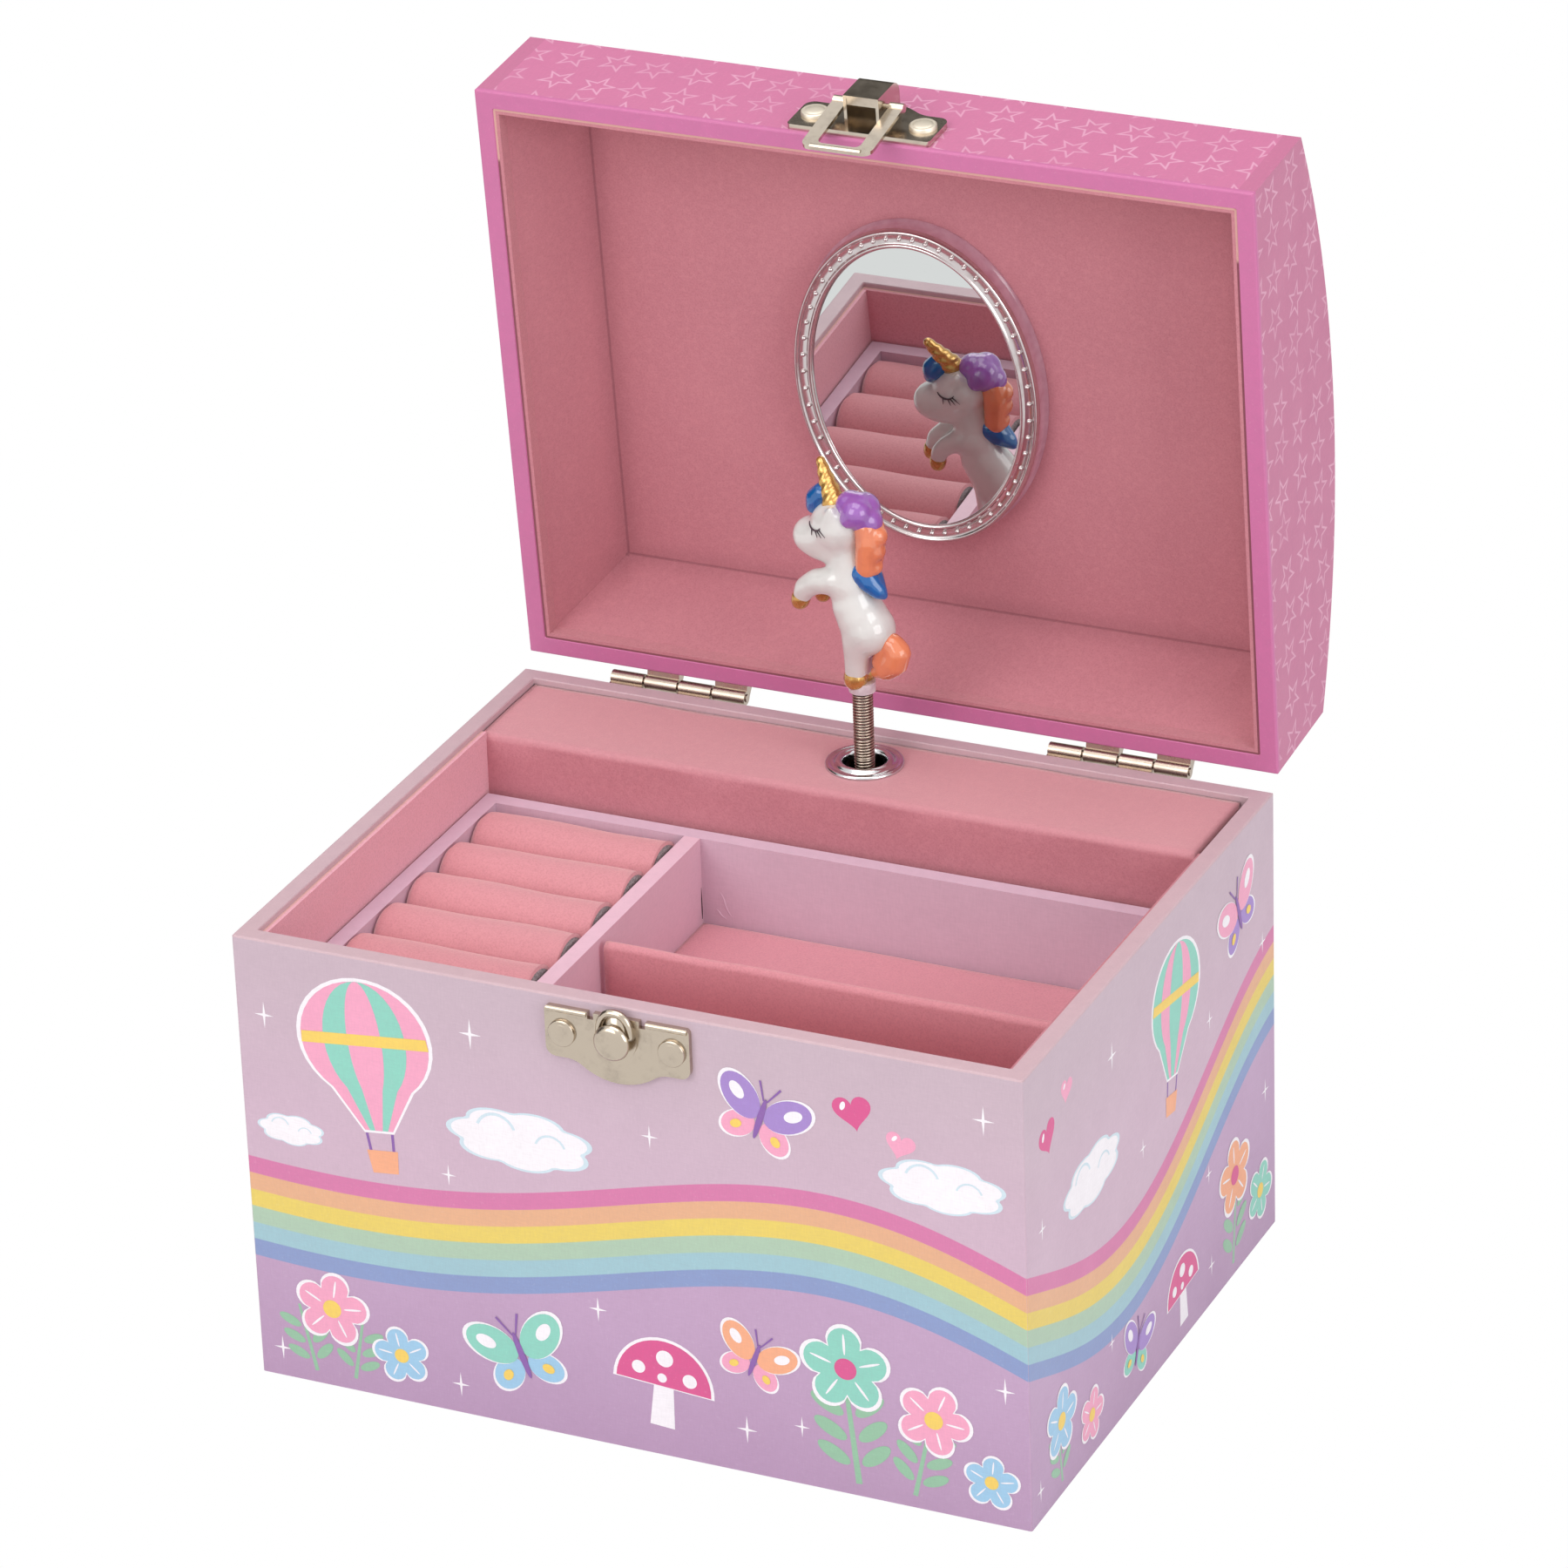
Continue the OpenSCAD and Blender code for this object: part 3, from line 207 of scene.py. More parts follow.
# ------------------------------------------------------------- shared effects


def new_group(name, inputs, outputs):
    """An empty node group, what it is given and what it results in. Sockets are (name, kind)."""
    group = bpy.data.node_groups.new(name, "ShaderNodeTree")
    for socket, kind in inputs:
        group.interface.new_socket(socket, in_out="INPUT", socket_type="NodeSocket" + kind)
    for socket, kind in outputs:
        group.interface.new_socket(socket, in_out="OUTPUT", socket_type="NodeSocket" + kind)
    given = outputs_of(group, group.nodes.new("NodeGroupInput"))
    return group, given, group.nodes.new("NodeGroupOutput").inputs


def use(tree, group, **inputs):
    """Places a group in a tree and returns its outputs by name."""
    node = tree.nodes.new("ShaderNodeGroup")
    node.node_tree = group
    for name, value in inputs.items():
        connect(tree, value, node.inputs[name.replace("_", " ")])
    return outputs_of(tree, node)


def make_paper_grain():
    """Satin printed paper with a fine linen tooth and slight cloudiness."""
    group, given, result = new_group(
        "paper grain", [("Place", "Vector"), ("Colour", "Color"), ("Depth", "Float")],
        [("Colour", "Color"), ("Roughness", "Float"), ("Height", "Float")])
    place = given["Place"]
    warp = noise(group, scaled(group, place, (3.4, 3.4, 0.5)), 1.0, 2.0)
    weft = noise(group, scaled(group, place, (0.5, 0.5, 3.4)), 1.0, 2.0)
    tooth = warp + weft
    cloud = noise(group, place, 0.09, 4.0, 0.6)
    specks = stepped(noise(group, place, 1.9, 2.0), 0.6, 0.8)
    shade = (cloud - 0.5) * 0.12 + (tooth - 1.0) * 0.16 + 0.06
    darker = mixed(group, maths("MAXIMUM", shade, 0.0), given["Colour"], ink("7E6478"))
    lighter = mixed(group, specks * 0.05, darker, ink("FFFFFF"))
    connect(group, lighter, result["Colour"])
    connect(group, cloud * 0.2 + 0.36, result["Roughness"])
    connect(group, tooth * given["Depth"], result["Height"])
    return group


def make_pile():
    """Short velour pile: fibre specks, brushed patches and a soft nap."""
    group, given, result = new_group(
        "velour pile", [("Place", "Vector"), ("Colour", "Color")],
        [("Colour", "Color"), ("Height", "Float")])
    place = given["Place"]
    fibres = noise(group, place, 2.6, 4.0, 0.75)
    tufts = noise(group, place, 0.85, 3.0, 0.6)
    brushed = noise(group, scaled(group, place, (1.0, 0.7, 1.3)), 0.06, 3.0, 0.55)
    dark = stepped(fibres, 0.6, 0.3) * 0.26
    light = stepped(tufts, 0.42, 0.72) * 0.13
    worn = stepped(brushed, 0.4, 0.75) * 0.1
    colour = mixed(group, dark, given["Colour"], ink("96525E"))
    colour = mixed(group, light, colour, ink("E6A2A8"))
    colour = mixed(group, worn, colour, ink("DE979E"))
    connect(group, colour, result["Colour"])
    connect(group, fibres * 0.7 + tufts * 0.5, result["Height"])
    return group


def make_handling():
    """Plated metal that has been handled: faint smudges and hairlines."""
    group, given, result = new_group(
        "handling", [("Place", "Vector"), ("Colour", "Color"), ("Polish", "Float")],
        [("Colour", "Color"), ("Roughness", "Float"), ("Height", "Float")])
    place = given["Place"]
    smudge = noise(group, place, 0.35, 4.0, 0.6)
    hairline = noise(group, scaled(group, place, (0.6, 6.0, 6.0)), 1.0, 2.0)
    dull = stepped(smudge, 0.45, 0.8) * 0.3
    connect(group, mixed(group, dull, given["Colour"], ink("8C8075")), result["Colour"])
    connect(group, smudge * 0.22 + given["Polish"], result["Roughness"])
    connect(group, hairline * 0.4, result["Height"])
    return group


def make_star_print():
    """Fine outline stars, each in its own place and turn, on a plain ground. Place is flat, in mm."""
    group, given, result = new_group(
        "star print", [("Place", "Vector"), ("Ground", "Color"), ("Ink", "Color")],
        [("Colour", "Color")])
    pitch, tip, line, stray = 8.7, 3.4, 0.2, 1.6
    notch = 0.4 * tip
    fifth_turn = math.radians(72)
    flat = scaled(group, given["Place"], (1 / pitch, 1 / pitch, 1 / pitch))
    cell = vectors(group, "FLOOR", flat)
    chance = put(group, "TexWhiteNoise", {"noise_dimensions": "3D"}, Vector=cell).outputs["Color"]
    pick = parts_of(group, chance)
    inside = parts_of(group, vectors(group, "SUBTRACT", flat, cell))
    across, along = [(inside[i] - 0.5) * pitch - (pick[i] - 0.5) * stray for i in (0, 1)]
    reach = maths("SQRT", across * across + along * along)
    turn = maths("ARCTAN2", along, across) + pick[2] * (2 * math.pi)
    fold = abs(maths("FRACT", turn / fifth_turn + 10.0) - 0.5) * fifth_turn
    x, y = reach * maths("COSINE", fold), reach * maths("SINE", fold)
    edge = Vector((notch * math.cos(fifth_turn / 2) - tip, notch * math.sin(fifth_turn / 2)))
    edge.normalize()
    off = (x - tip) * edge.y - y * edge.x
    drawn = stepped(abs(off), line + 0.1, line - 0.1)
    strength = drawn * (pick[0] * 0.18 + 0.3)
    connect(group, mixed(group, strength, given["Ground"], given["Ink"]), result["Colour"])
    return group


def make_ribbon_print():
    """A wavy ribbon of pastel stripes that runs all round the case between two grounds.
    Along is the distance round the case and Up the height, in mm."""
    group, given, result = new_group(
        "ribbon print", [("Along", "Float"), ("Up", "Float")], [("Colour", "Color")])
    round_case = 2 * (CASE_HIGH.x - CASE_LOW.x + CASE_HIGH.y - CASE_LOW.y) / MM
    up = given["Up"]
    stripe_w = 3.5
    middle = 41.0
    for waves, rise, start in ((3, 9.5, -22.0), (4, 3.5, 30.0)):  # waves round the case, then mm
        step = (given["Along"] - start) * (2 * math.pi * waves / round_case)
        middle = maths("SINE", step) * rise + middle
    above = (up - middle) / stripe_w
    upper = mixed(group, stepped(up, 50.0, 95.0), ink(UPPER_BY_RIBBON), ink(UPPER_GROUND))
    lower = mixed(group, stepped(up, 35.0, 0.0), ink(LOWER_BY_RIBBON), ink(LOWER_GROUND))
    colour = lower
    for i, stripe in enumerate(STRIPES + [None]):
        begins = i - len(STRIPES) / 2
        share = stepped(above, begins - 0.03, begins + 0.03)
        colour = mixed(group, share, colour, ink(stripe) if stripe else upper)
    connect(group, colour, result["Colour"])
    return group


def make_enamel():
    """Thick paint on moulded plastic: a little darker where it pools, with bright flecks."""
    group, given, result = new_group(
        "enamel", [("Place", "Vector"), ("Colour", "Color"), ("Shade", "Color"), ("Flecks", "Float")],
        [("Colour", "Color"), ("Height", "Float")])
    place = given["Place"]
    pooled = stepped(noise(group, place, 0.22, 3.0), 0.42, 0.7)
    colour = mixed(group, pooled * 0.5, given["Colour"], given["Shade"])
    speck = stepped(noise(group, place, 5.0, 2.0), 0.55, 0.75)
    colour = mixed(group, speck * given["Flecks"], colour, ink("FFF3D0"))
    connect(group, colour, result["Colour"])
    connect(group, noise(group, place, 0.7, 2.0), result["Height"])
    return group


def make_cut_edge():
    """1 on the outermost half millimetre of a lining's card, and 0 elsewhere. Inside and Edge are
    the heights in mm between which it begins."""
    group, given, result = new_group(
        "cut edge", [("Place", "Vector"), ("Inside", "Float"), ("Edge", "Float")], [("Mask", "Float")])
    x, y, z = parts_of(group, given["Place"])
    shown = 0.55
    past_x = abs(x) - ((CASE_HIGH.x - BOARD) / MM - shown)
    past_y = abs(y) - ((CASE_HIGH.y - BOARD) / MM - shown)
    rim = stepped(maths("MAXIMUM", past_x, past_y), -0.06, 0.06)
    connect(group, rim * stepped(z, given["Inside"], given["Edge"]), result["Mask"])
    return group


def make_painted_corner_shade():
    """Painted shade: 1 along the lines where the lid's lining cards meet in its inside corners, and a soft
    painted shade beside them. Sizes in mm.
    """
    group, given, result = new_group(
        "painted_corner_shade",
        [("Place", "Vector"), ("Half Width", "Float"), ("Half Depth", "Float"), ("Roof", "Float")],
        [("Mask", "Float")])
    x, y, z = parts_of(group, given["Place"])
    gap_x = abs(given["Half Width"] - abs(x))
    gap_y = abs(given["Half Depth"] - abs(y))
    gap_z = abs(given["Roof"] - z)
    upright = maths("MINIMUM", gap_x, gap_y)
    level = maths("MINIMUM", maths("MAXIMUM", gap_x, gap_y), gap_z)
    corner = maths("MAXIMUM", upright, level)
    # painted shade: a dark line in each inside corner, and a softer shade within 5 mm of it
    line = stepped(corner, 0.5, 0.15) * 0.45
    shade = stepped(corner, 5.0, 0.0) * 0.16
    connect(group, maths("MAXIMUM", line, shade), result["Mask"])
    return group


PAPER_GRAIN = make_paper_grain()
PILE = make_pile()
HANDLING = make_handling()
STAR_PRINT = make_star_print()
RIBBON_PRINT = make_ribbon_print()
ENAMEL = make_enamel()
CUT_EDGE = make_cut_edge()
PAINTED_CORNER_SHADE = make_painted_corner_shade()

# ------------------------------------------------------------- finishes


def new_finish(name, **sockets):
    """A material with a plain surface shader, its tree and its shader node."""
    finish = bpy.data.materials.new(name)
    finish.use_nodes = True
    tree = finish.node_tree
    shader = tree.nodes["Principled BSDF"]
    for socket, value in sockets.items():
        shader.inputs[socket.replace("_", " ")].default_value = value
    return finish, tree, shader


def tint(tree, shader, colour):
    """Feeds a colour to the surface shader."""
    connect(tree, colour, shader.inputs["Base Color"])


def emboss(tree, shader, height, depth_mm):
    """Raises the surface by height, which runs from 0 to about 1."""
    bump = put(tree, "Bump", Height=height, Distance=depth_mm * MM, Strength=1.0)
    connect(tree, bump.outputs[0], shader.inputs["Normal"])


def lay_paper(tree, shader, place, colour, tooth=0.5):
    """Dresses a shader as satin paper of a colour."""
    grain = use(tree, PAPER_GRAIN, Place=place, Colour=colour, Depth=tooth)
    tint(tree, shader, grain["Colour"])
    connect(tree, grain["Roughness"], shader.inputs["Roughness"])
    emboss(tree, shader, grain["Height"], 0.03)


def plain_paper(name, code, on_lid=False, tooth=0.5):
    finish, tree, shader = new_finish(name, Specular_IOR_Level=0.4)
    lay_paper(tree, shader, place_mm(tree, on_lid), ink(code), tooth)
    return finish


def along_wall(tree, place, wall):
    """The distance round the case at a wall, in mm, from the middle of the front."""
    x, y, _ = parts_of(tree, place)
    half_w = CASE_HIGH.x / MM
    half_d = CASE_HIGH.y / MM
    if wall == "front":
        return x
    if wall == "right":
        return y + (half_w + half_d)
    if wall == "left":
        return (-half_w - half_d) - y
    return (2 * half_w + 2 * half_d) - x


def case_print(wall):
    """The printed paper of one wall."""
    finish, tree, shader = new_finish(f"printed paper {wall}", Specular_IOR_Level=0.4)
    place = place_mm(tree)
    ribbon = use(tree, RIBBON_PRINT, Along=along_wall(tree, place, wall), Up=parts_of(tree, place)[2])
    lay_paper(tree, shader, place, ribbon["Colour"])
    return finish


def star_paper(name, flat_axes, ground=LID_GROUND):
    """The lid's printed paper. flat_axes are the two axes of the shut lid that the print lies in,
    apart from faces at the lid's ends, where they are 1 and 2."""
    finish, tree, shader = new_finish(name, Specular_IOR_Level=0.4)
    place = place_mm(tree, on_lid=True)
    xyz = parts_of(tree, place)
    facing = parts_of(tree, put(tree, "TexCoord").outputs["Normal"])[0]
    at_end = maths("GREATER_THAN", abs(facing), 0.7)
    across, along = [xyz[plain] * (1.0 - at_end) + xyz[end] * at_end
                     for plain, end in zip(flat_axes, (1, 2))]
    flat = put(tree, "CombineXYZ", X=across, Y=along, Z=0.0).outputs[0]
    stars = use(tree, STAR_PRINT, Place=flat, Ground=ink(ground), Ink=ink(STAR_INK))
    lay_paper(tree, shader, place, stars["Colour"])
    return finish


def velour(name, code, on_lid=False):
    """Flocked velour with a soft sheen."""
    finish, tree, shader = new_finish(
        name, Roughness=0.92, Specular_IOR_Level=0.15, Sheen_Weight=0.75, Sheen_Roughness=0.45,
        Sheen_Tint=ink("F4D4D4"))
    pile = use(tree, PILE, Place=place_mm(tree, on_lid), Colour=ink(code))
    tint(tree, shader, pile["Colour"])
    emboss(tree, shader, pile["Height"], 0.12)
    return finish


def plated(name, code, polish, on_lid=False):
    """Plated or bare metal of a colour."""
    finish, tree, shader = new_finish(name, Metallic=1.0)
    worn = use(tree, HANDLING, Place=place_mm(tree, on_lid), Colour=ink(code), Polish=polish)
    tint(tree, shader, worn["Colour"])
    connect(tree, worn["Roughness"], shader.inputs["Roughness"])
    emboss(tree, shader, worn["Height"], 0.01)
    return finish


def glossy_paint(name, code, shade_code, flecks=0.0, metallic=0.0, roughness=0.1):
    """Glossy enamel of a colour, which pools to its shade."""
    finish, tree, shader = new_finish(
        name, Metallic=metallic, Roughness=roughness, Coat_Weight=0.6, Coat_Roughness=0.03,
        Specular_IOR_Level=0.5)
    paint = use(tree, ENAMEL, Place=place_mm(tree), Colour=ink(code), Shade=ink(shade_code),
                Flecks=flecks)
    tint(tree, shader, paint["Colour"])
    emboss(tree, shader, paint["Height"], 0.05)
    return finish


def mirror_silver():
    """Silvered glass with a trace of dust."""
    finish, tree, shader = new_finish("mirror silver", Metallic=1.0)
    place = place_mm(tree, on_lid=True)
    dust = stepped(noise(tree, place, 1.2, 3.0), 0.62, 0.8)
    tint(tree, shader, mixed(tree, dust * 0.05, ink("D5D8D7"), ink("B4AFB1")))
    connect(tree, dust * 0.03 + 0.008, shader.inputs["Roughness"])
    return finish


def clear_plastic():
    """Milky plastic of the peg that joins the figurine to its spring."""
    finish, tree, shader = new_finish(
        "milky plastic", Roughness=0.28, Subsurface_Weight=0.3, Subsurface_Radius=(0.002, 0.002, 0.002))
    place = place_mm(tree)
    cloud = stepped(noise(tree, place, 0.6, 2.0), 0.35, 0.75)
    tint(tree, shader, mixed(tree, cloud, ink("CDBDC3"), ink("E2D8DC")))
    return finish


def mottled(name, scale, detail, codes, on_lid=False, **sockets):
    """A finish that drifts between two colours."""
    finish, tree, shader = new_finish(name, **sockets)
    drift = noise(tree, place_mm(tree, on_lid), scale, detail)
    tint(tree, shader, mixed(tree, drift, ink(codes[0]), ink(codes[1])))
    return finish


def reopen(finish):
    """A finish's tree, its surface shader, and the colour that feeds the shader."""
    tree = finish.node_tree
    shader = tree.nodes["Principled BSDF"]
    return tree, shader, shader.inputs["Base Color"].links[0].from_socket


def grey_foam():
    finish, tree, shader = new_finish("grey foam", Roughness=0.95)
    place = place_mm(tree)
    cells = put(tree, "TexVoronoi", Vector=place, Scale=2.4).outputs["Distance"]
    tint(tree, shader, mixed(tree, cells, ink("6F6567"), ink("A79B9D")))
    emboss(tree, shader, cells, 0.2)
    return finish


NICKEL = plated("nickel plate", "C6B9A8", 0.1)
LID_NICKEL = plated("nickel plate on the lid", "CCC0B0", 0.09, on_lid=True)
DULL_NICKEL = plated("dull nickel", "B3A496", 0.16)
CHROME = plated("chrome", "D6D6D8", 0.06)
BRASS = plated("brass", "C9A75A", 0.2)
STEEL = plated("steel", "9C9C9C", 0.2)
CASE_VELOUR = velour("velour", VELOUR)
ROLL_PILE = velour("velour on the rolls", ROLL_VELOUR)
RIM_PAPER = plain_paper("rim paper", CASE_RIM)
TRAY_FINISH = plain_paper("tray paper", TRAY_PAPER)
LID_RIM_PAPER = plain_paper("lid rim paper", LID_RIM, on_lid=True)
FOAM = grey_foam()
MIRROR = mirror_silver()

# ------------------------------------------------------------- mesh helpers


def angles(count):
    """Angles all round a circle."""
    return [2 * math.pi * k / count for k in range(count)]


def new_piece(name, mesh_or_bm, finish, body, smooth=True):
    """A shown piece that rides a body. Takes a mesh or a bmesh."""
    if isinstance(mesh_or_bm, bmesh.types.BMesh):
        mesh = bpy.data.meshes.new(name)
        mesh_or_bm.to_mesh(mesh)
        mesh_or_bm.free()
    else:
        mesh = mesh_or_bm
    for one in finish if isinstance(finish, (list, tuple)) else [finish]:
        mesh.materials.append(one)
    mesh.polygons.foreach_set("use_smooth", [smooth] * len(mesh.polygons))
    piece = bpy.data.objects.new(name, mesh)
    bpy.context.scene.collection.objects.link(piece)
    if body:
        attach(piece, body)
    return piece


def dress(names, finish):
    """Gives CAD nodes a finish."""
    for name in names:
        node = nodes[name]
        node.data.materials.clear()
        node.data.materials.append(finish)
        for slot in node.material_slots:
            slot.link = "OBJECT"
            slot.material = finish


def loft(bm, rings, cap_first=False, cap_last=False, material=0):
    """Joins closed rings of points, all of one length, with faces."""
    rows = [[bm.verts.new(point) for point in ring] for ring in rings]
    count = len(rows[0])
    for row, following in zip(rows, rows[1:]):
        for i in range(count):
            j = (i + 1) % count
            face = bm.faces.new((row[i], row[j], following[j], following[i]))
            face.material_index = material
    if cap_first:
        bm.faces.new(list(reversed(rows[0]))).material_index = material
    if cap_last:
        bm.faces.new(rows[-1]).material_index = material
    return rows


def open_with_the_lid(bm):
    """Moves what was made on the shut lid to the open one."""
    bmesh.ops.transform(bm, matrix=OPENING, verts=bm.verts)
    bmesh.ops.recalc_face_normals(bm, faces=bm.faces)


def shut_points(name):
    """Where the points of a lid node are on the shut lid."""
    back = OPENING.inverted()
    return [back @ (nodes[name].matrix_world @ v.co) for v in nodes[name].data.vertices]


def shut_box(name):
    """The lowest and highest corners of a lid node on the shut lid."""
    points = shut_points(name)
    return [Vector([pick(p[i] for p in points) for i in range(3)]) for pick in (min, max)]


def rounded_ring(half_x, half_y, radius, z):
    """A rounded rectangle at height z, counter-clockwise from above."""
    steps = 5
    ring = []
    for corner, (sx, sy) in enumerate([(1, -1), (1, 1), (-1, 1), (-1, -1)]):
        start = -90 + 90 * corner
        for k in range(steps + 1):
            angle = math.radians(start + 90 * k / steps)
            ring.append(Vector((sx * (half_x - radius) + radius * math.cos(angle),
                                sy * (half_y - radius) + radius * math.sin(angle), z)))
    return ring


def tube(bm, path, radius, sides=8):
    """A round tube along a path, closed at both ends. radius is a number or one for each point."""
    radii = radius if isinstance(radius, (list, tuple)) else [radius] * len(path)
    rings = []
    normal = None
    for i, point in enumerate(path):
        ahead = path[min(i + 1, len(path) - 1)]
        behind = path[max(i - 1, 0)]
        along = (ahead - behind).normalized()
        if normal is None:
            normal = along.orthogonal().normalized()
        normal = (normal - along * normal.dot(along)).normalized()
        side = along.cross(normal)
        rings.append([point + radii[i] * (math.cos(a) * normal + math.sin(a) * side)
                      for a in angles(sides)])
    loft(bm, rings, cap_first=True, cap_last=True)


# ------------------------------------------------------------- papered case

WRAP = 0.12 * MM  # the paper's thickness on the boards
SOFT_EDGE = 0.35 * MM  # the rounding of a papered rim
WALLS = {  # the directions to the right and out of each wall, seen from outside
    "front": (Vector((1, 0, 0)), Vector((0, -1, 0))),
    "right": (Vector((0, 1, 0)), Vector((1, 0, 0))),
    "back": (Vector((-1, 0, 0)), Vector((0, 1, 0))),
    "left": (Vector((0, -1, 0)), Vector((-1, 0, 0)))}


def rim_rings(radius, stations):
    """Rounded rectangles round the papered case, from stations of (how far in, height)."""
    half_x, half_y = CASE_HIGH.x + WRAP, CASE_HIGH.y + WRAP
    return [rounded_ring(half_x - inset, half_y - inset, radius, z) for inset, z in stations]


def paper_the_case():
    """The wrapping paper: printed outside, plain over the rim and a little way down inside."""
    top = CASE_HIGH.z + WRAP
    turn_in = 1.2 * MM
    plain = len(WALLS)  # the rim paper's slot, after those of the walls
    finishes = [case_print(wall) for wall in WALLS] + [RIM_PAPER]
    bm = bmesh.new()
    outer = [(0.0, 0.0), (0.0, top - SOFT_EDGE), (0.3 * SOFT_EDGE, top - 0.3 * SOFT_EDGE),
             (SOFT_EDGE, top)]
    inner = [(SOFT_EDGE, top), (BOARD + WRAP, top), (BOARD + 2 * WRAP, top - 0.2 * MM),
             (BOARD + 2 * WRAP, top - turn_in)]
    loft(bm, rim_rings(0.45 * MM, outer))
    loft(bm, rim_rings(0.3 * MM, inner), material=plain)
    bmesh.ops.remove_doubles(bm, verts=bm.verts, dist=1e-7)
    for face in bm.faces:
        if face.material_index == plain or face.calc_center_median().z > top - SOFT_EDGE:
            face.material_index = plain
            continue
        facing = [face.normal.dot(out) for _, out in WALLS.values()]
        face.material_index = facing.index(max(facing))
    piece = new_piece("case_paper", bm, finishes, "case", smooth=False)
    dress(["front_wall", "back_wall", "left_wall", "right_wall", "bottom_panel"], RIM_PAPER)


def paper_the_lid():
    """Star-printed boards, and plain paper over the lid's rim."""
    dress(["lid_top"], star_paper("star paper top", (0, 1)))
    dress(["lid_front_board", "lid_back_board"], star_paper("star paper front", (0, 2)))
    # the ends' ground is a darker copy of the lid's ground, as painted shade
    dress(["lid_left_end", "lid_right_end"], star_paper("star paper ends", (0, 1), "C47295"))
    low = RIM_Z - WRAP
    bm = bmesh.new()
    stations = [(0.0, low + 1.0 * MM), (0.0, low + SOFT_EDGE), (0.3 * SOFT_EDGE, low + 0.3 * SOFT_EDGE),
                (SOFT_EDGE, low), (BOARD + WRAP, low), (BOARD + 2 * WRAP, low + 0.2 * MM),
                (BOARD + 2 * WRAP, low + 1.0 * MM)]
    loft(bm, rim_rings(0.4 * MM, stations))
    open_with_the_lid(bm)
    piece = new_piece("lid_rim_paper", bm, LID_RIM_PAPER, "lid", smooth=False)


# ------------------------------------------------------------- printed motifs

INKS = {"white": "F4EFF4", "mist": "CFE0EA", "rose": "D8578F", "blush": "EFA3C0", "gold": "F2CE62",
        "apricot": "F1AA84", "mint": "8CCFBE", "leaf": "93BFA0", "sky": "9CC7E4", "violet": "A486C9",
        "plum": "8A5FA8"}
INK_STEP = 0.012 * MM  # from one layer of ink to the next


class Print:
    """Collects the flat shapes printed on one wall, in mm from its middle and its foot."""

    def __init__(self, wall):
        self.wall = wall
        self.bm = bmesh.new()
        self.right, self.out = WALLS[wall]
        self.face = WRAP + abs(self.out.x) * CASE_HIGH.x + abs(self.out.y) * CASE_HIGH.y

    def shape(self, outline, colour, layer=1, bowed=False):
        """Prints a closed outline of (across, up) points. Each outline is filled from its middle, unless
        it is bowed round its middle."""
        lift = self.face + INK_STEP * layer
        points = [self.right * (x * MM) + self.out * lift + Vector((0, 0, z * MM)) for x, z in outline]
        rim = [self.bm.verts.new(point) for point in points]
        if bowed:
            half = len(rim) // 2
            faces = [self.bm.faces.new((rim[i], rim[i + 1], rim[-i - 2], rim[-i - 1]))
                     for i in range(half - 1)]
        else:
            middle = self.bm.verts.new(sum(points, Vector()) / len(points))
            faces = [self.bm.faces.new((rim[i - 1], rim[i], middle)) for i in range(len(rim))]
        for face in faces:
            face.material_index = list(INKS).index(colour)

    def at(self, x, z, size, turn):
        """A stamp that prints outlines of unit size at one place."""
        def stamp(outline, colour, layer=1, grow=1.0):
            self.shape(placed(outline, x, z, size * grow, turn), colour, layer)

        return stamp

    def finish(self, inks):
        piece = new_piece(f"print_{self.wall}", self.bm, inks, "case", smooth=False)


def placed(points, x, z, size, turn=0.0):
    """Outline points of unit size, turned by degrees and put at (x, z)."""
    c, s = math.cos(math.radians(turn)), math.sin(math.radians(turn))
    return [(x + size * (c * px - s * pz), z + size * (s * px + c * pz)) for px, pz in points]


def round_outline(radius_at, count):
    """An outline given by its radius at each angle."""
    return [(radius_at(a) * math.cos(a), radius_at(a) * math.sin(a)) for a in angles(count)]


def oval(wide, tall, x=0.0, z=0.0, turn=0.0):
    """An oval given by its half sizes."""
    unit = round_outline(lambda a: 1.0, 28)
    return placed([(wide * px, tall * pz) for px, pz in unit], x, z, 1.0, turn)


def heart(sheet, x, z, size, turn, colour):
    """A heart with a glint."""
    stamp = sheet.at(x, z, size, turn)
    points = []
    for a in angles(40):
        up = (13 * math.cos(a) - 5 * math.cos(2 * a) - 2 * math.cos(3 * a) - math.cos(4 * a)) / 16
        points.append((math.sin(a) ** 3, up))
    stamp(points, colour)
    stamp(oval(0.13, 0.24, -0.45, 0.3, -30), "white", 2)


def sparkle(sheet, x, z, size):
    """A slim star of four points."""
    points = []
    for k in range(4):
        a = math.radians(90 * k)
        reach = 1.0 if k % 2 else 0.72
        points.append((reach * math.cos(a), reach * math.sin(a)))
        points.append((0.13 * math.cos(a + math.pi / 4), 0.13 * math.sin(a + math.pi / 4)))
    sheet.shape(placed(points, x, z, size), "white")


def sparkles(sheet, places):
    """Sparkles at places of (across, up, size)."""
    for x, z, size in places:
        sparkle(sheet, x, z, size)


def flower(sheet, x, z, size, turn, petals, heart_colour):
    """A flower of five petals on a white rim."""
    stamp = sheet.at(x, z, size, turn)
    count = 5
    vein = oval(0.26, 0.03, 0.6, 0.0)
    rim = round_outline(lambda a: 0.62 + 0.38 * abs(math.cos(count * a / 2)) ** 0.7, 60)
    stamp(rim, "white", 5, grow=1.1)
    stamp(rim, petals, 6)
    for k in range(count):
        stamp(placed(vein, 0, 0, 1, 360 * k / count), "white", 7)
    sheet.shape(oval(0.26 * size, 0.26 * size, x, z), heart_colour, 8)


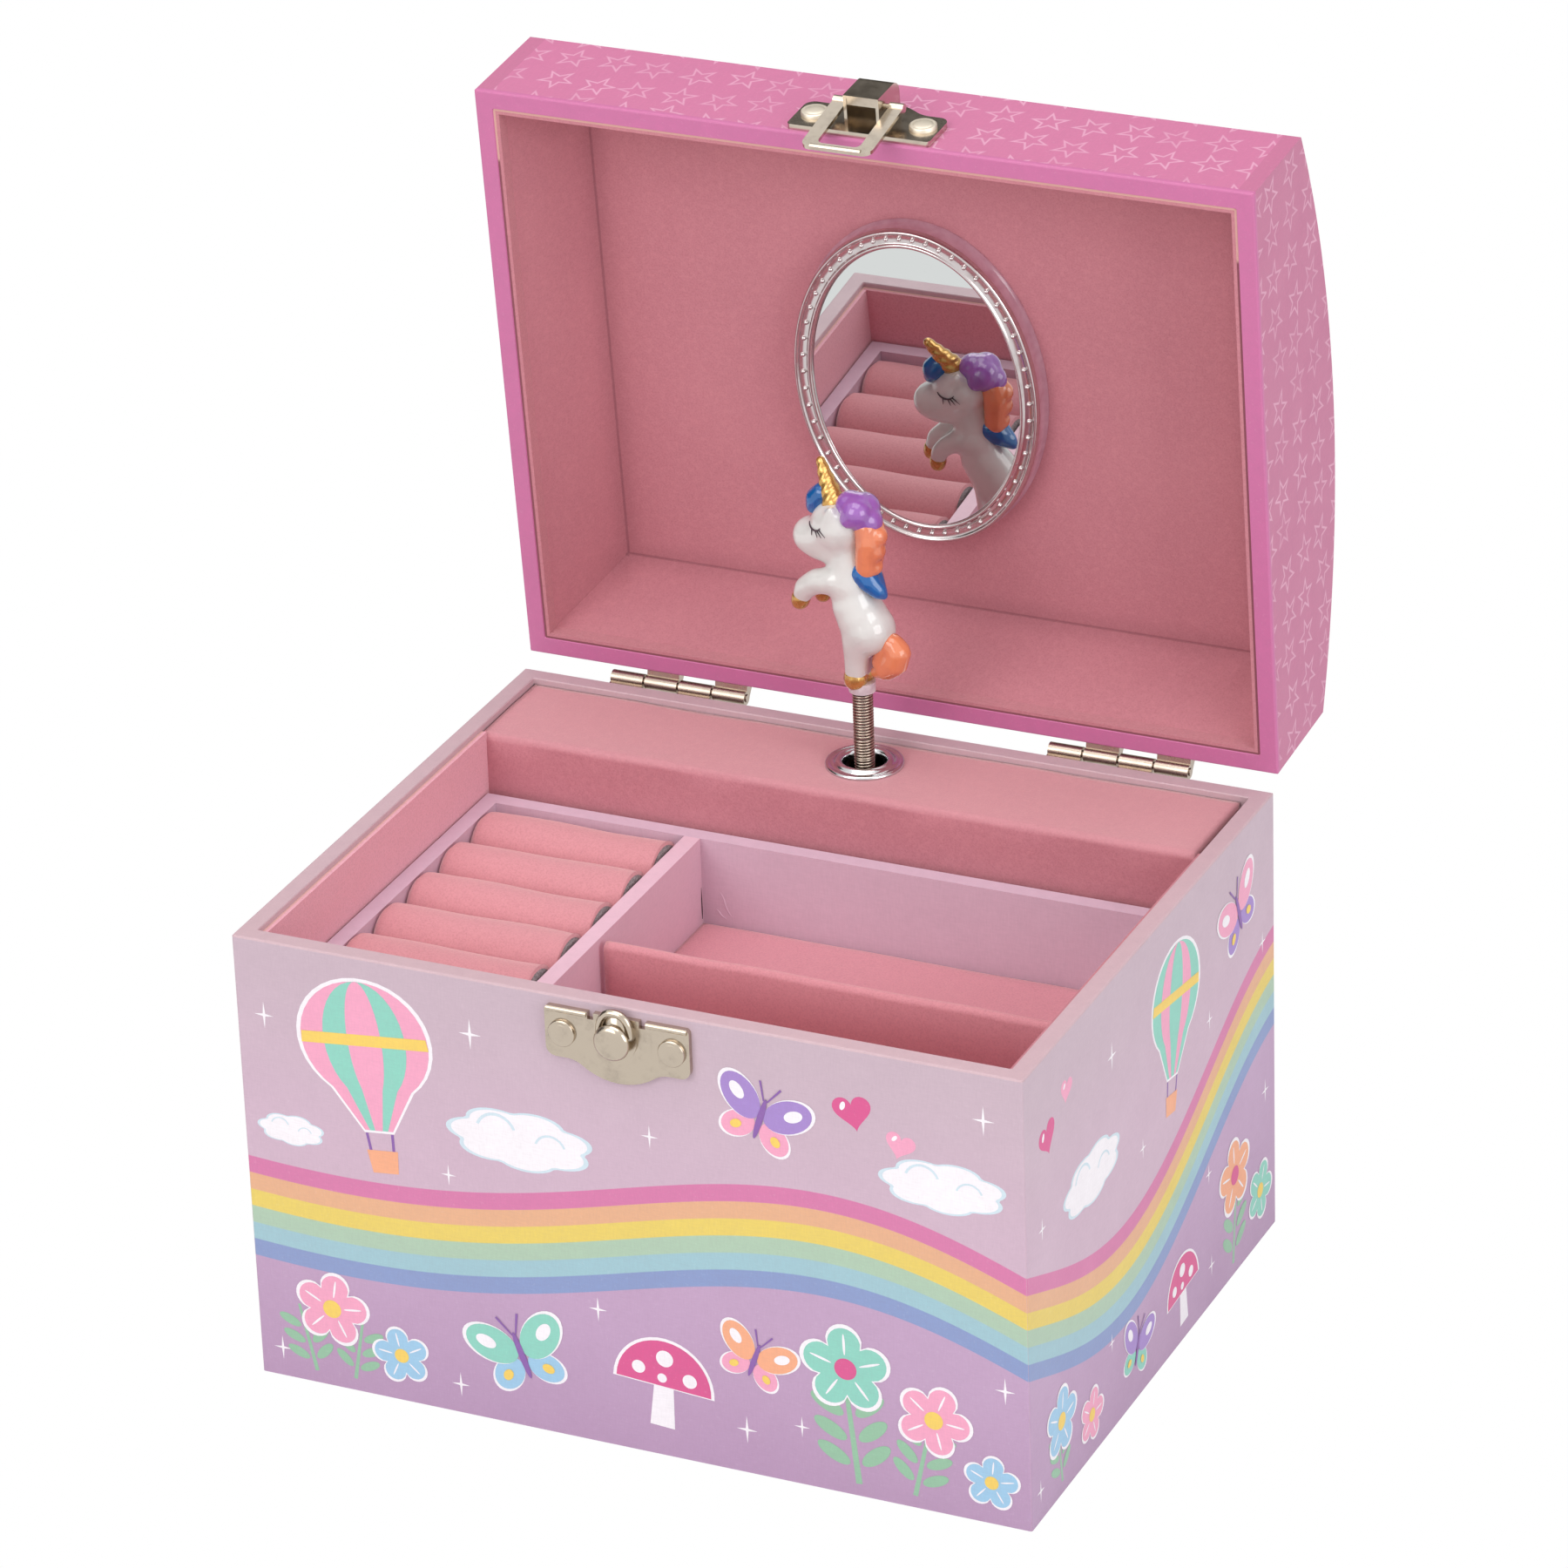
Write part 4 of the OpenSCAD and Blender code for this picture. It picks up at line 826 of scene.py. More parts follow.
def sprig(sheet, x, z, size, turn):
    """A stem with pairs of leaves."""
    stamp = sheet.at(x, z, size, turn)
    stem = [(-0.03, 0), (0.03, 0), (0.02, 1.0), (-0.02, 1.0)]
    stamp(stem, "leaf", 1)
    for k, up in enumerate((0.22, 0.46, 0.7)):
        for side in (-1, 1):
            leaf = oval(0.17, 0.07, side * 0.2, up + 0.07, side * 35)
            stamp(leaf, "leaf", 2 + (side > 0) + 0.5 * (k % 2))


def butterfly(sheet, x, z, size, turn, upper, lower):
    """A butterfly with white rims to its four wings."""
    stamp = sheet.at(x, z, size, turn)
    for side in (-1, 1):
        wings = [(oval(0.36, 0.27, side * 0.38, -0.3, side * -38), lower, 1),
                 (oval(0.52, 0.34, side * 0.5, 0.3, side * 38), upper, 5)]
        for wing, colour, layer in wings:
            own = layer + (side > 0) * 0.5
            stamp(wing, "white", own, grow=1.07)
            stamp(wing, colour, own + 2)
        upper_spot = oval(0.2, 0.12, side * 0.6, 0.37, side * 38)
        lower_spot = oval(0.12, 0.09, side * 0.42, -0.33, side * -38)
        stamp(upper_spot, "white", 9)
        stamp(lower_spot, "gold", 9)
        feeler = [(side * 0.02, 0.4), (side * 0.05, 0.4), (side * 0.24, 0.78), (side * 0.2, 0.8)]
        stamp(feeler if side > 0 else feeler[::-1], "plum", 10)
    stamp(oval(0.065, 0.46), "plum", 11)


def cloud(sheet, x, z, wide, tall):
    """A cloud of seven puffs with two bowed lines on it."""
    puffs = round_outline(lambda a: 0.84 + 0.16 * abs(math.sin(3.5 * a + 0.4)) ** 0.8, 84)
    for grow, colour, layer in ((1.0, "mist", 1), (0.93, "white", 2)):
        half_w, half_t = wide * grow / 2, tall * grow / 2
        sheet.shape([(x + px * half_w, z + pz * half_t) for px, pz in puffs], colour, layer)
    for dx, dz, reach in ((-0.16, 0.05, 0.14), (0.2, -0.08, 0.11)):
        bow = [(math.cos(a), math.sin(a)) for a in (math.radians(20 + 14 * k) for k in range(11))]
        thin = bow + [(0.86 * px, 0.86 * pz) for px, pz in reversed(bow)]
        sheet.shape(placed(thin, x + dx * wide, z + dz * tall, reach * wide), "mist", 3, bowed=True)


def balloon(sheet, x, z, size, turn, skin, gore):
    """A hot-air balloon with gores, skirt and basket."""
    stamp = sheet.at(x, z, size, turn)

    def envelope(width):
        side = [(width * math.sin(a), 0.42 * -math.cos(a) + 0.2) for a in
                (math.radians(38 + 142 * k / 14) for k in range(15))]
        foot = [(width * 0.22, -0.42)]
        right = foot + side
        return right + [(-px, pz) for px, pz in reversed(right)][1:]

    stamp(envelope(0.46), "white", grow=1.04)
    stamp(envelope(0.45), skin, 2)
    stamp(envelope(0.29), gore, 3)
    stamp(envelope(0.12), skin, 4)
    band = [(-0.45, 0.17), (0.45, 0.17), (0.44, 0.25), (-0.44, 0.25)]
    stamp(band, "gold", 5)
    for side in (-1, 1):
        rope = [(side * 0.08, -0.44), (side * 0.1, -0.44), (side * 0.09, -0.58), (side * 0.07, -0.58)]
        stamp(rope if side > 0 else rope[::-1], "plum", 2)
    basket = [(-0.11, -0.56), (-0.09, -0.72), (0.09, -0.72), (0.11, -0.56)]
    stamp(basket, "apricot", 3)


def toadstool(sheet, x, z, size, turn, cap):
    """A toadstool with a spotted cap, size high, standing on (x, z)."""
    stamp = sheet.at(x, z, size, turn)
    stem = [(-0.13, 0.0), (0.13, 0.0), (0.1, 0.5), (-0.1, 0.5)]
    stamp(stem, "white", 2)
    dome = [(0.5 * math.cos(a), 0.45 + 0.5 * math.sin(a)) for a in (math.pi * k / 20 for k in range(21))]
    border = [(1.07 * px, 0.45 + 1.09 * (pz - 0.46)) for px, pz in dome]
    stamp(border, "white", 3)
    stamp(dome, cap, 4)
    spots = ((-0.27, 0.6, 0.07), (0.0, 0.76, 0.09), (0.27, 0.58, 0.075), (-0.02, 0.54, 0.05))
    for px, pz, reach in spots:
        stamp(oval(reach, reach, px, pz), "white", 5)


def print_front(sheet):
    balloon(sheet, -51, 68.5, 29, 6, "blush", "mint")
    cloud(sheet, -21, 60, 30, 12.5)
    cloud(sheet, -68, 53, 14, 6.5)
    butterfly(sheet, 27, 74, 9.5, -18, "violet", "blush")
    heart(sheet, 45, 79, 3.8, 12, "rose")
    heart(sheet, 54, 74, 2.9, -14, "blush")
    cloud(sheet, 62, 67, 25, 10.5)
    sparkles(sheet, [(-30, 80, 3.2), (-72, 76, 2.8), (70, 82, 3.0), (5, 66, 2.4), (-36, 50, 2.2)])
    sprig(sheet, -66, 2.5, 14, 12)
    sprig(sheet, -58, 2.5, 13, -10)
    flower(sheet, -62, 16.5, 7.2, 8, "blush", "gold")
    flower(sheet, -48, 9.5, 5.6, 30, "sky", "gold")
    butterfly(sheet, -23, 15, 10.5, 20, "mint", "sky")
    toadstool(sheet, 5, 6, 19, -4, "rose")
    butterfly(sheet, 24, 24, 8.0, -20, "apricot", "blush")
    sprig(sheet, 44, 2.5, 21, 6)
    sprig(sheet, 55, 2.5, 16, -12)
    flower(sheet, 42, 26, 8.4, 20, "mint", "rose")
    flower(sheet, 59, 19, 7.0, -5, "blush", "gold")
    flower(sheet, 70, 8.5, 5.2, 12, "sky", "gold")
    sparkles(sheet, [(-73, 6, 2.6), (-36, 6, 2.6), (-7, 28, 2.6), (22, 9, 2.9), (33, 12, 2.2),
                     (73, 28, 2.8)])


def print_right(sheet):
    cloud(sheet, -30, 57, 27, 11.5)
    balloon(sheet, 10, 68, 25, -8, "mint", "blush")
    butterfly(sheet, 42, 75, 9.5, 20, "blush", "violet")
    heart(sheet, -50, 75, 3.6, 12, "rose")
    heart(sheet, -41, 80, 2.6, -12, "blush")
    sparkles(sheet, [(-20, 76, 3.0), (-53, 58, 2.4), (27, 60, 2.2), (54, 63, 2.4), (-6, 50, 2.2)])
    sprig(sheet, -46, 2.5, 13, 8)
    flower(sheet, -46, 15, 6.6, 10, "sky", "gold")
    flower(sheet, -32, 8.5, 5.2, 0, "blush", "gold")
    butterfly(sheet, -10, 10.5, 7.8, -20, "violet", "mint")
    toadstool(sheet, 13, 3.5, 15, 4, "rose")
    sprig(sheet, 38, 2.5, 17, -6)
    flower(sheet, 39, 21, 7.4, 24, "apricot", "rose")
    flower(sheet, 52, 11, 5.8, -8, "mint", "gold")
    sparkles(sheet, [(-56, 6, 2.4), (-22, 18, 2.0), (27, 8, 2.4), (26, 28, 2.2), (55, 31, 2.6)])


def print_left(sheet):
    balloon(sheet, -36, 72, 22, 7, "sky", "apricot")
    cloud(sheet, 12, 76, 26, 10.5)
    butterfly(sheet, 42, 70, 8.6, -18, "mint", "sky")
    heart(sheet, -8, 70, 3.0, 10, "rose")
    flower(sheet, -42, 14, 6.8, 14, "apricot", "rose")
    flower(sheet, -26, 9, 5.2, 4, "blush", "gold")
    butterfly(sheet, -2, 13, 8.8, 20, "blush", "apricot")
    sprig(sheet, 26, 3, 12, 8)
    flower(sheet, 26, 15, 6.2, -6, "sky", "gold")
    toadstool(sheet, 46, 3, 14, 4, "violet")
    sparkles(sheet, [(-55, 84, 2.6), (29, 84, 2.4), (55, 56, 2.2), (-54, 26, 2.2), (12, 6, 2.4),
                     (12, 24, 2.0)])


def print_back(sheet):
    cloud(sheet, -44, 76, 28, 11.5)
    balloon(sheet, 48, 70, 25, -6, "violet", "gold")
    butterfly(sheet, 12, 77, 9.0, 18, "apricot", "blush")
    heart(sheet, -26, 73, 3.2, 10, "rose")
    flower(sheet, -60, 13, 7.0, 14, "sky", "gold")
    butterfly(sheet, -42, 12, 8.6, -20, "mint", "blush")
    flower(sheet, 38, 12, 6.6, 4, "blush", "gold")
    toadstool(sheet, 60, 3, 16, 4, "rose")
    sparkles(sheet, [(-70, 86, 2.6), (-22, 84, 2.2), (28, 86, 2.4), (70, 86, 2.2), (-14, 8, 2.6),
                     (22, 8, 2.4)])


def print_the_walls():
    inks = [plain_paper(f"{name} ink", code, tooth=0.35) for name, code in INKS.items()]
    draws = {"front": print_front, "right": print_right, "left": print_left, "back": print_back}
    for wall, draw in draws.items():
        sheet = Print(wall)
        draw(sheet)
        sheet.finish(inks)


# ------------------------------------------------------------- velour and card


def soften(name, width, segments=3):
    """Rounds the edges of a CAD node."""
    bevel = nodes[name].modifiers.new("soft edges", "BEVEL")
    bevel.width = width
    bevel.segments = segments
    bevel.limit_method = "ANGLE"
    bevel.angle_limit = math.radians(35)
    nodes[name].data.polygons.foreach_set("use_smooth", [False] * len(nodes[name].data.polygons))


def wavy(place):
    """Smooth noise made of a few turned waves."""
    x, y, z = place
    waves = math.sin(x * 2.1 + 1.3 * math.sin(y * 1.7 + z))
    waves += math.sin(y * 2.7 + 1.1 * math.sin(z * 2.3 + x))
    return (waves + math.sin(z * 1.9 + 1.7 * math.sin(x * 1.3 + y * 0.7))) / 3


def ripple(point, depth, pitch):
    """A gentle unevenness, from -depth to depth, that depends only on the place."""
    return depth * wavy(point / pitch)


def lining_finish(name, code, edge_up):
    """Velour on card whose cut edge shows at a height in mm."""
    finish = velour(name, code)
    tree, shader, soft = reopen(finish)
    cut = use(tree, CUT_EDGE, Place=place_mm(tree), Inside=edge_up - 0.2, Edge=edge_up - 0.1)["Mask"]
    tint(tree, shader, mixed(tree, cut * 0.7, soft, ink(CUT_CARD)))
    return finish


def line_the_case():
    # painted light: the front lining's velour is lighter to offset the shade it stands in, and the left
    # lining's paler as painted sheen
    for name, code in (("front_lining", "DB97A2"), ("left_lining", "E9ADBB"), ("right_lining", VELOUR)):
        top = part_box(name)[1].z / MM
        dress([name], lining_finish(f"velour {name}", code, top))
    dress(["tray_supports"], CASE_VELOUR)


def shelf_finish(top):
    """Velour with a painted sheen that makes it paler over its fold and top, from the top's height in mm.
    """
    finish = velour("velour shelf", VELOUR)
    tree, shader, soft = reopen(finish)
    up = parts_of(tree, place_mm(tree))[2]
    # painted sheen: paler towards the top
    pale = stepped(up, top - 1.8, top - 0.2) * 0.3
    tint(tree, shader, mixed(tree, pale, soft, ink("E0A9AE")))
    return finish


def shelf_profile(face, foot, top, back, fold):
    """The shelf's skin in section: up its face, over a soft fold and straight back."""
    up_steps, fold_steps, back_steps = 24, 6, 20
    points = [Vector((0, face, foot + (top - fold - foot) * k / up_steps)) for k in range(up_steps + 1)]
    for k in range(1, fold_steps + 1):
        angle = math.radians(90 * k / fold_steps)
        points.append(Vector((0, face + fold * (1 - math.cos(angle)), top - fold * (1 - math.sin(angle)))))
    return points + [Vector((0, face + fold + (back - face - fold) * k / back_steps, top))
                     for k in range(1, back_steps + 1)]


def cover_the_movement():
    """The velour skin of the shelf, with a hole for the eyelet."""
    low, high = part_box("cover_top")
    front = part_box("cover_front")[0]
    skin, fold = 0.28 * MM, 1.5 * MM
    face, top = front.y - skin, high.z + skin
    profile = shelf_profile(face, front.z, top, high.y - 0.05 * MM, fold)
    left, width = low.x + 0.3 * MM, high.x - low.x - 0.8 * MM
    columns = 130
    hole, eyelet_rim = 5.7 * MM, 8.5 * MM
    puckered = 3 * MM  # how far back the top puckers along the fold
    pressed = 0.2 * MM  # how far the eyelet presses the pile down
    bm = bmesh.new()
    rows = []
    for k in range(columns + 1):
        x = left + width * k / columns
        row = []
        for point in profile:
            place = Vector((x, point.y, point.z))
            swell = ripple(place, 0.16 * MM, 9 * MM)
            on_top = point.z > top - fold
            if on_top and point.y < face + puckered:
                swell += 0.1 * MM * math.sin(x / MM * 0.21) * math.sin(x / MM * 0.083 + 1)
            if math.hypot(x, point.y - SPINDLE_Y) < eyelet_rim:
                swell = -pressed
            row.append(bm.verts.new(place + Vector((0, -swell if point.y < face + fold / 2 else 0,
                                                    swell if on_top else 0))))
        rows.append(row)
    for row, following in zip(rows, rows[1:]):
        for i in range(len(profile) - 1):
            corners = (row[i], following[i], following[i + 1], row[i + 1])
            middle = sum((v.co for v in corners), Vector()) / 4
            if math.hypot(middle.x, middle.y - SPINDLE_Y) < hole and middle.z > top - fold:
                continue
            bm.faces.new(corners)
    bmesh.ops.recalc_face_normals(bm, faces=bm.faces)
    piece = new_piece("shelf_velour", bm, shelf_finish(top / MM), "case")
    if piece.data.polygons[0].normal.y > 0:
        piece.data.flip_normals()
    board = piece.modifiers.new("board", "SOLIDIFY")
    board.thickness = high.z - low.z
    board.offset = -1
    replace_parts(piece, "cover_front", "cover_top")


def line_the_lid():
    """The lid's lining: painted shade along the corners where its cards meet, a painted shadow along its
    edge by the rim, and a pale cut edge along the front.
    """
    foot = shut_box("lid_lining")[0].z / MM
    points = shut_points("lid_lining")
    half_x = min(abs(p.x) for p in points) / MM
    half_y = min(abs(p.y) for p in points) / MM
    roof = shut_box("lid_ceiling")[0].z / MM
    for name in ("lid_lining", "lid_ceiling"):
        finish = velour(f"velour {name}", VELOUR, on_lid=True)
        tree, shader, soft = reopen(finish)
        place = place_mm(tree, on_lid=True)
        cut = use(tree, CUT_EDGE, Place=place, Inside=foot + 0.3, Edge=foot + 0.15)["Mask"]
        # painted shade in the lining's inside corners
        folds = use(tree, PAINTED_CORNER_SHADE, Place=place, Half_Width=half_x, Half_Depth=half_y, Roof=roof)["Mask"]
        in_front = stepped(parts_of(tree, place)[1], -half_y + 3, -half_y + 2)
        # along the edge by the rim: painted shadow, except at the front, where the pale cut card shows
        edge = mixed(tree, in_front, ink(FOLD_SHADOW), ink(CUT_CARD))
        colour = mixed(tree, folds, soft, ink(FOLD_SHADOW))
        colour = mixed(tree, cut * 0.75, colour, edge)
        tint(tree, shader, colour)
        dress([name], finish)


# ------------------------------------------------------------- tray, rolls and pad


def roll_section(half_w, foot, crown):
    """A roll's section: up one side, round over the crown and down the other side."""
    side_steps, arc_steps = 6, 20
    rise = crown - foot
    section = [Vector((0, half_w, foot + rise * k / side_steps)) for k in range(side_steps)]
    section += [Vector((0, half_w * math.cos(a), crown + half_w * math.sin(a)))
                for a in (math.pi * k / arc_steps for k in range(arc_steps + 1))]
    return section + [Vector((0, -half_w, crown - rise * k / side_steps))
                      for k in range(1, side_steps + 1)]


def ring_cushion(name, x0, x1, y, half_w, foot, top, seed):
    """One roll of the ring cushion: velour over foam, open at its right end."""
    crown = top - half_w
    section = roll_section(half_w, foot, crown)
    middle = Vector((0, 0, crown - 2 * MM))
    tuck_depth, tuck_length = 1.1 * MM, 1.6 * MM
    count = 34
    rings = []
    for k in range(count + 1):
        share = k / count
        x = x0 + (x1 - x0) * share
        end = x - x0
        tuck = tuck_depth * max(0.0, 1 - end / tuck_length) ** 2
        ring = []
        for point in section:
            away = point - middle
            swell = ripple(Vector((x + seed, y, point.z)), 0.22 * MM, 8 * MM) - tuck
            swell = min(swell, 0.1 * MM) if abs(point.y) > 0.9 * half_w else swell
            moved = point + away.normalized() * swell
            moved.y = max(-half_w, min(half_w, moved.y))
            ring.append(Vector((x, y + moved.y, max(foot, moved.z))))
        rings.append(ring)
    bm = bmesh.new()
    rows = loft(bm, rings)
    bm.faces.new(list(reversed(rows[0])))
    centre = Vector((x1, y, (foot + crown) / 2))
    last = rows[-1]
    velour_slot, foam_slot = 0, 1
    end_rings = ((0.97, 0.25, velour_slot), (0.93, 0.3, velour_slot), (0.92, 0.5, foam_slot),
                 (0.88, 0.75, foam_slot), (0.5, 0.8, foam_slot))
    for shrink, ahead, slot in end_rings:
        ring = [bm.verts.new(Vector((x1 + ahead * MM, centre.y + (v.co.y - centre.y) * shrink,
                                     foot + (v.co.z - foot) * (shrink + 0.04)))) for v in rows[-1]]
        for i in range(len(ring)):
            j = (i + 1) % len(ring)
            bm.faces.new((last[i], last[j], ring[j], ring[i])).material_index = slot
        last = ring
    bm.faces.new(last).material_index = foam_slot
    piece = new_piece(name, bm, [ROLL_PILE, FOAM], "tray")
    return piece


def fill_the_tray():
    dress(["tray"], TRAY_FINISH)
    dress(["tray_partition"], plain_paper("partition paper", "E6C0CF"))
    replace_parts(soft_divider(), "tray_divider")
    low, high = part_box("ring_rolls")
    count = 6
    pitch = (high.y - low.y) / count
    for k in range(count):
        y = low.y + pitch * (k + 0.5)
        roll = ring_cushion(f"ring_roll_{k + 1}", low.x, high.x - 1.2 * MM, y,
                            pitch / 2 - 0.02 * MM, low.z, high.z, 0.011 * k)
        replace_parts(roll, "ring_rolls")
    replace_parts(floor_pad(), "compartment_pad")
    wrinkle_the_corner()


def soft_divider():
    """A card covered with velour that is folded over its top."""
    low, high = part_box("tray_divider")
    half = (high.y - low.y) / 2
    y = (low.y + high.y) / 2
    bm = bmesh.new()
    rings = []
    count = 60
    for k in range(count + 1):
        x = low.x + (high.x - low.x) * k / count
        ring = []
        for j in range(13):
            a = math.pi * j / 12
            swell = ripple(Vector((x, 0, 0)), 0.12 * MM, 7 * MM)
            z = high.z - half + half * math.sin(a) - 0.12 * MM + swell
            ring.append(Vector((x, y + half * math.cos(a), min(z, high.z))))
        ring += [Vector((x, y - half, low.z)), Vector((x, y + half, low.z))]
        rings.append(ring)
    loft(bm, rings, cap_first=True, cap_last=True)
    bmesh.ops.recalc_face_normals(bm, faces=bm.faces)
    piece = new_piece("soft_divider", bm, velour("velour divider", "D69099"), "tray")
    return piece


def floor_pad():
    """The thin velour pad in the tray's right side, soft at its edges."""
    low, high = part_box("compartment_pad")
    across, along = 80, 64
    soft = 2 * MM
    bm = bmesh.new()
    rows = []
    for i in range(across + 1):
        row = []
        for j in range(along + 1):
            x = low.x + (high.x - low.x) * i / across
            y = low.y + (high.y - low.y) * j / along
            edge = min(x - low.x, high.x - x, y - low.y, high.y - y)
            drop = 0.7 * MM * max(0.0, 1 - edge / soft) ** 2
            z = high.z - 0.15 * MM - drop + ripple(Vector((x, y, 0)), 0.14 * MM, 11 * MM)
            row.append(bm.verts.new((x, y, min(z, high.z))))
        rows.append(row)
    for row, following in zip(rows, rows[1:]):
        for j in range(along):
            bm.faces.new((row[j], following[j], following[j + 1], row[j + 1]))
    rim = ([row[0] for row in rows] + rows[-1][1:] + [row[-1] for row in reversed(rows[:-1])]
           + list(reversed(rows[0][1:-1])))
    foot = [bm.verts.new((v.co.x, v.co.y, low.z)) for v in rim]
    for i in range(len(rim)):
        j = (i + 1) % len(rim)
        bm.faces.new((rim[j], rim[i], foot[i], foot[j]))
    bm.faces.new(list(reversed(foot)))
    piece = new_piece("floor_pad", bm, velour("velour pad", "D8919D"), "tray")
    return piece


def wrinkle_the_corner():
    """Where the tray's paper has pulled away from its corner: a dark slit and two small folds."""
    shadow = mottled("shadow in the slit", 3.0, 2.0, ("2E2228", "54404A"), Roughness=1.0,
                     Specular_IOR_Level=0.0)
    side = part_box("tray_partition")[1].x
    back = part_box("compartment_pad")[1].y
    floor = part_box("compartment_pad")[1].z
    slit = bmesh.new()
    edge = [(up * MM, wide * MM) for up, wide in ((0.2, 0.25), (2.0, 0.45), (4.5, 0.4), (6.8, 0.1))]
    from_corner = 0.45 * MM
    outline = [(back - from_corner - wide / 2, up) for up, wide in edge]
    outline += [(back - from_corner + wide / 2, up) for up, wide in reversed(edge)]
    slit.faces.new([slit.verts.new((side + 0.03 * MM, y, floor + up)) for y, up in outline])
    new_piece("corner_slit", slit, shadow, "tray", smooth=False)
    folds = bmesh.new()
    for x0, z0, x1, z1 in ((3.2, 7.0, 6.4, 0.6), (2.2, 2.8, 5.2, 0.5)):
        path = []
        for k in range(9):
            x = x0 + (x1 - x0) * k / 8 + 0.25 * math.sin(k * 0.9)
            z = z0 + (z1 - z0) * k / 8
            path.append(Vector((side + x * MM, back + 0.1 * MM, floor + z * MM)))
        tube(folds, path, [0.26 * MM * math.sin(math.pi * (k + 0.5) / 9) for k in range(9)])
    new_piece("paper_folds", folds, TRAY_FINISH, "tray")


# ------------------------------------------------------------- metal fittings


def rings_back(centre, profile, count):
    """Circles about a line that runs straight back from centre, from a profile of (radius, y)."""
    return [[centre + Vector((reach * math.cos(a), back, reach * math.sin(a))) for a in angles(count)]
            for reach, back in profile]


def stud_heads():
    """Rivet heads: a low dome in a shallow ring."""
    satin = plated("satin nickel on the lid", "E6DCCB", 0.42, on_lid=True)
    profile = [(1.0, 1.2), (1.0, 0.35), (0.94, 0.2), (0.84, 0.16), (0.76, 0.24), (0.7, 0.14),
               (0.5, 0.05), (0.25, 0.01), (0.03, 0.0)]
    for node, on_lid, finish, body in (("latch_rivets", False, NICKEL, "case"),
                                       ("catch_rivets", True, satin, "lid")):
        low, high = shut_box(node) if on_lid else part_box(node)
        radius = (high.z - low.z) / 2
        bm = bmesh.new()
        for side in (-1, 1):
            centre = Vector((side * (high.x - radius), 0, (low.z + high.z) / 2))
            stud = [(reach * radius, low.y + deep * MM) for reach, deep in profile]
            loft(bm, rings_back(centre, stud, 40), cap_last=True)
        if on_lid:
            bmesh.ops.transform(bm, matrix=OPENING, verts=bm.verts)
        bmesh.ops.recalc_face_normals(bm, faces=bm.faces)
        piece = new_piece(node.replace("rivets", "studs"), bm, finish, body)
        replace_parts(piece, node)


def form_the_knob():
    """The latch's button on its neck, and the hook behind it: sheet rolled over in an arch."""
    low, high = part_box("latch_knob")
    radius = 3.5 * MM
    middle = Vector((0, low.y, low.z + radius))
    face = high.y
    profile = [(0.02, 0.0), (1.5, 0.02), (2.3, 0.1), (2.8, 0.24), (3.15, 0.46), (3.4, 0.78), (3.5, 1.08),
               (3.45, 1.28), (3.2, 1.38), (2.8, 1.4), (1.5, 1.42), (1.4, 1.55), (1.4, 2.5), (1.7, 2.95)]
    bm = bmesh.new()
    button = [(reach * MM, deep * MM) for reach, deep in profile]
    loft(bm, rings_back(middle, button, 48), cap_first=True)
    roll = 0.75 * MM
    wide, foot = 3.0 * MM, middle.z + 0.6 * MM
    tall = high.z - roll - foot
    count = 28
    arch = []
    for k in range(count + 1):
        a = math.pi * k / count
        arch.append(Vector((wide * math.copysign(abs(math.cos(a)) ** 0.8, -math.cos(a)), face - roll,
                            foot + tall * math.sin(a) ** 0.8)))
    tube(bm, arch, roll, sides=14)
    sheet = [[Vector((p.x, face - deep * MM, p.z)) for p in arch] for deep in (0.95, 0.4)]
    loft(bm, sheet, cap_first=True, cap_last=True)
    bmesh.ops.recalc_face_normals(bm, faces=bm.faces)
    piece = new_piece("latch_button", bm, NICKEL, "case")
    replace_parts(piece, "latch_knob")


def set_the_eyelet():
    """A pressed eyelet: a thin outer rim, a hollow, and a rolled inner rim that turns down the hole."""
    profile = [(4.5, -3.2), (4.2, -3.0), (4.15, 0), (4.2, 0.75), (4.45, 1.15), (4.9, 1.35), (5.35, 1.25),
               (5.7, 0.9), (5.95, 0.62), (6.3, 0.55), (6.8, 0.7), (7.1, 0.85), (7.4, 0.75), (7.55, 0.45),
               (7.55, 0.1)]  # (radius, height over the shelf) in mm
    rings = [[Vector((radius * MM * math.cos(a), SPINDLE_Y + radius * MM * math.sin(a),
                      (SHELF_Z / MM + up) * MM)) for a in angles(72)] for radius, up in profile]
    bm = bmesh.new()
    loft(bm, rings)
    bmesh.ops.recalc_face_normals(bm, faces=bm.faces)
    piece = new_piece("eyelet_rims", bm, CHROME, "case")
    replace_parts(piece, "eyelet")


def finish_the_metal():
    dress(["latch_plate"], NICKEL)
    dress(["catch_plate", "catch_housing", "hasp"], LID_NICKEL)
    dress(["hinge_case_leaves", "hinge_case_nails", "hinge_pins"], DULL_NICKEL)
    dress(["hinge_lid_leaves", "hinge_lid_nails"],
          plated("dull nickel on the lid", "B3A496", 0.16, on_lid=True))
    for name in ("latch_plate", "catch_plate"):
        soften(name, 0.35 * MM)
    soften("catch_housing", 0.5 * MM, 4)
    soften("hasp", 0.15 * MM, 2)
    dress(["bedplate", "great_wheel", "governor_wheel", "cylinder_wheel", "cylinder_pinion", "comb_rest",
           "winding_key", "pinned_cylinder"], BRASS)
    dress(["bedplate_screws", "spring_housing", "housing_posts", "comb", "comb_screws", "governor_fly",
           "cylinder_arbor", "key_arbor"], STEEL)


# ------------------------------------------------------------- spring


